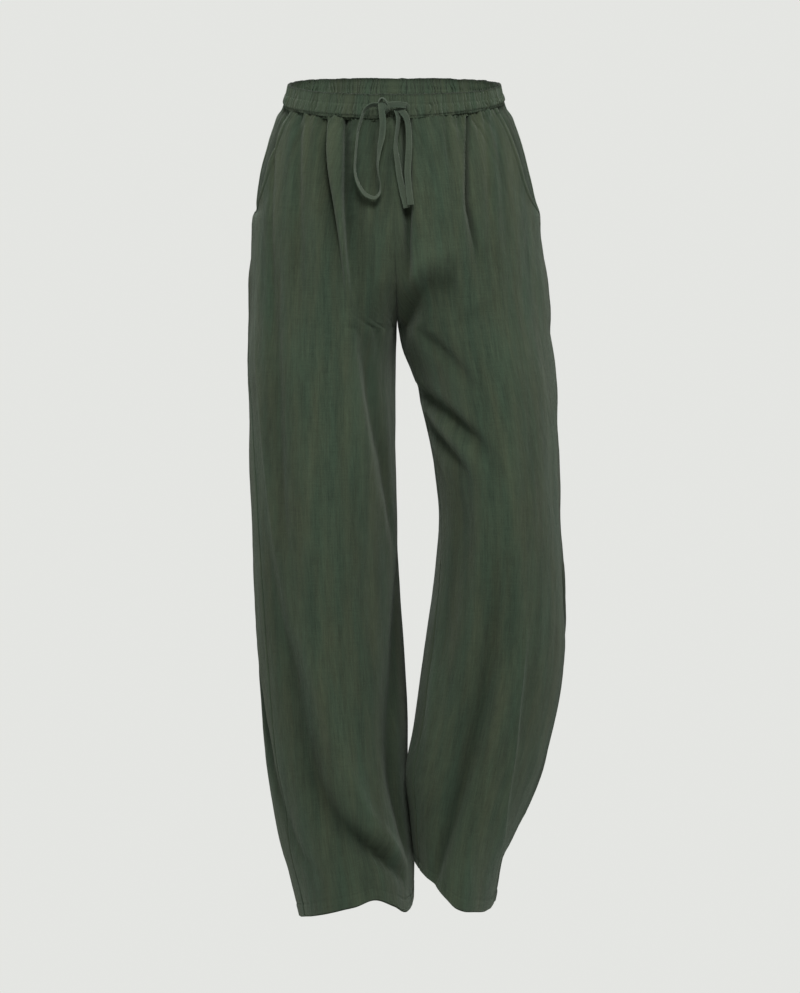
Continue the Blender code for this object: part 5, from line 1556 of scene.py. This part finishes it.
def add_tie(material):
    """One loop, two tails and the knot; the route's stops are the CAD part's."""
    section = tape_section()
    for name, route, end in (("loop", LOOP_ROUTE, "object"), ("tail_right", RIGHT_TAIL_ROUTE, "bare"),
                             ("tail_left", LEFT_TAIL_ROUTE, "bare")):
        piece, path = loft_along("tie_" + name, route, section, material)
        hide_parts("drawstring_" + name)
    strands = [loft_along("tie_knot_strand", strand.route, tape_section(strand.width), material)[0]
               for strand in KNOT_STRANDS]
    knot = join_pieces("tie_knot", strands)
    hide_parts("drawstring_knot")


# --- The room ------------------------------------------------------------------------------------
BACKDROP = (0.779, 0.787, 0.763)
AMBIENT = 0.34                          # light from all round
FLOOR_GLOW = 0.20                       # share of the backdrop's light that the floor gives off
FLOOR_LEVEL = -1.36
FLOOR_RADIUS = 1.25
FLOOR_FADE = (0.35, 1.15)               # distances from its middle where it starts to fade and is gone
LIGHTS = table(
    "name place aim size watts",
    ("key", (0.12, -2.1, 1.7), (0.0, 0.0, -0.35), (0.9, 0.9), 53),
    ("side_left", (-2.6, -1.3, 0.7), (0.0, 0.0, -0.4), (1.4, 2.0), 7),
    ("side_right", (2.6, -1.1, 0.9), (0.0, 0.0, -0.4), (1.4, 2.2), 9),
    ("back", (-0.6, 2.6, 1.6), (0.0, 0.0, -0.4), (2.0, 2.0), 42),
)


def add_camera():
    """The photo's camera."""
    data = bpy.data.cameras.new("camera")
    data.lens = FOCAL_PIXELS / PHOTO_HEIGHT * SENSOR
    data.sensor_width = SENSOR
    camera = bpy.data.objects.new("camera", data)
    bpy.context.scene.collection.objects.link(camera)
    back = Vector((0.0, -math.cos(CAMERA_ELEVATION), math.sin(CAMERA_ELEVATION)))
    camera.location = CAMERA_AIM + back * CAMERA_DISTANCE
    camera.rotation_euler = (-back).to_track_quat("-Z", "Y").to_euler()
    data.clip_end = 100.0
    bpy.context.scene.camera = camera


def add_world():
    """The pale backdrop as the camera sees it, and a weaker light of its colour on everything else."""
    world = bpy.data.worlds.new("world")
    world.use_nodes = True
    bpy.context.scene.world = world
    tree = world.node_tree
    n = Nodes(tree)
    seen = n.make("ShaderNodeLightPath")
    background = tree.nodes["Background"]
    background.inputs["Color"].default_value = (*BACKDROP, 1.0)
    strength = n.maths("MULTIPLY_ADD", seen, 1.0 - AMBIENT, AMBIENT)
    tree.links.new(strength, background.inputs["Strength"])


def add_light(name, place, aim, size, watts):
    """A rectangle of light, turned to its aim."""
    data = bpy.data.lights.new(name, "AREA")
    data.shape = "RECTANGLE"
    data.size, data.size_y = size
    data.energy = watts
    light = bpy.data.objects.new(name, data)
    light.location = place
    light.rotation_euler = (Vector(aim) - Vector(place)).to_track_quat("-Z", "Y").to_euler()
    bpy.context.scene.collection.objects.link(light)


def add_floor():
    """A pale disc under the trousers that fades into the backdrop."""
    bpy.ops.mesh.primitive_circle_add(vertices=96, radius=FLOOR_RADIUS, fill_type="NGON",
                                      location=(0.0, 0.0, FLOOR_LEVEL))
    floor = bpy.context.object
    floor.name = "floor"
    material = bpy.data.materials.new("pale_floor")
    material.use_nodes = True
    tree = material.node_tree
    shader = tree.nodes["Principled BSDF"]
    shader.inputs["Base Color"].default_value = (0.74, 0.75, 0.73, 1.0)
    shader.inputs["Roughness"].default_value = 0.95
    shader.inputs["Emission Color"].default_value = (*BACKDROP, 1.0)
    shader.inputs["Emission Strength"].default_value = FLOOR_GLOW
    n = Nodes(tree)
    spot = n.make("ShaderNodeTexCoord").node.outputs["Object"]
    away = n.make("ShaderNodeVectorMath", {"operation": "LENGTH"}, i0=spot).node.outputs["Value"]
    fade = n.make("ShaderNodeMapRange", {"interpolation_type": "SMOOTHSTEP"}, Value=away,
                  **{"From Min": FLOOR_FADE[0], "From Max": FLOOR_FADE[1], "To Min": 1.0, "To Max": 0.0})
    tree.links.new(fade, shader.inputs["Alpha"])
    floor.data.materials.append(material)


def main():
    """Everything in the picture, with the camera and the cords first."""
    scene = bpy.context.scene
    scene.view_settings.view_transform = "Standard"
    scene.view_settings.look = "None"
    add_camera()
    tie = woven_material("tie_tape", TIE_GREEN, TIE_BROWN, 0.3)
    add_tie(tie)
    linen = woven_material("linen", LINEN_GREEN, LINEN_BROWN, 0.25)
    thread = woven_material("thread", TIE_GREEN, TIE_BROWN, 0.1)
    right = Half("right", -1.0, RIGHT_OUTLINE, RIGHT_FORK, RIGHT_HEM)
    left = Half("left", 1.0, LEFT_OUTLINE, LEFT_FORK, LEFT_HEM)
    for half in (right, left):
        half.add_folds(FOLDS[half.name])
        half.add_folds(gather_folds(half))
        add_panel(half, "front_" + half.name, inseam, front_edge, FRONT_COLUMNS, FRONT_MIDDLE, FRONT_CUT,
                  linen, mouth_gape, mouth_wear_and_shade)
        add_panel(half, "back_" + half.name, side_seam, lambda h, z: 1.0 + inseam(h, z), BACK_COLUMNS,
                  BACK_MIDDLE, BACK_CUT, linen)
        add_facing(half, linen)
        add_hem(half, linen)
        add_stitches("stitches_" + half.name, pocket_lines(half) + hem_lines(half), thread)
    band_lines = [stitch_frames(*line, pitch=BAND_STITCH_PITCH) for line in add_waistband(right, left, linen)]
    add_stitches("band_stitches", band_lines, thread)
    add_world()
    for light in LIGHTS:
        add_light(*light)
    add_floor()


main()
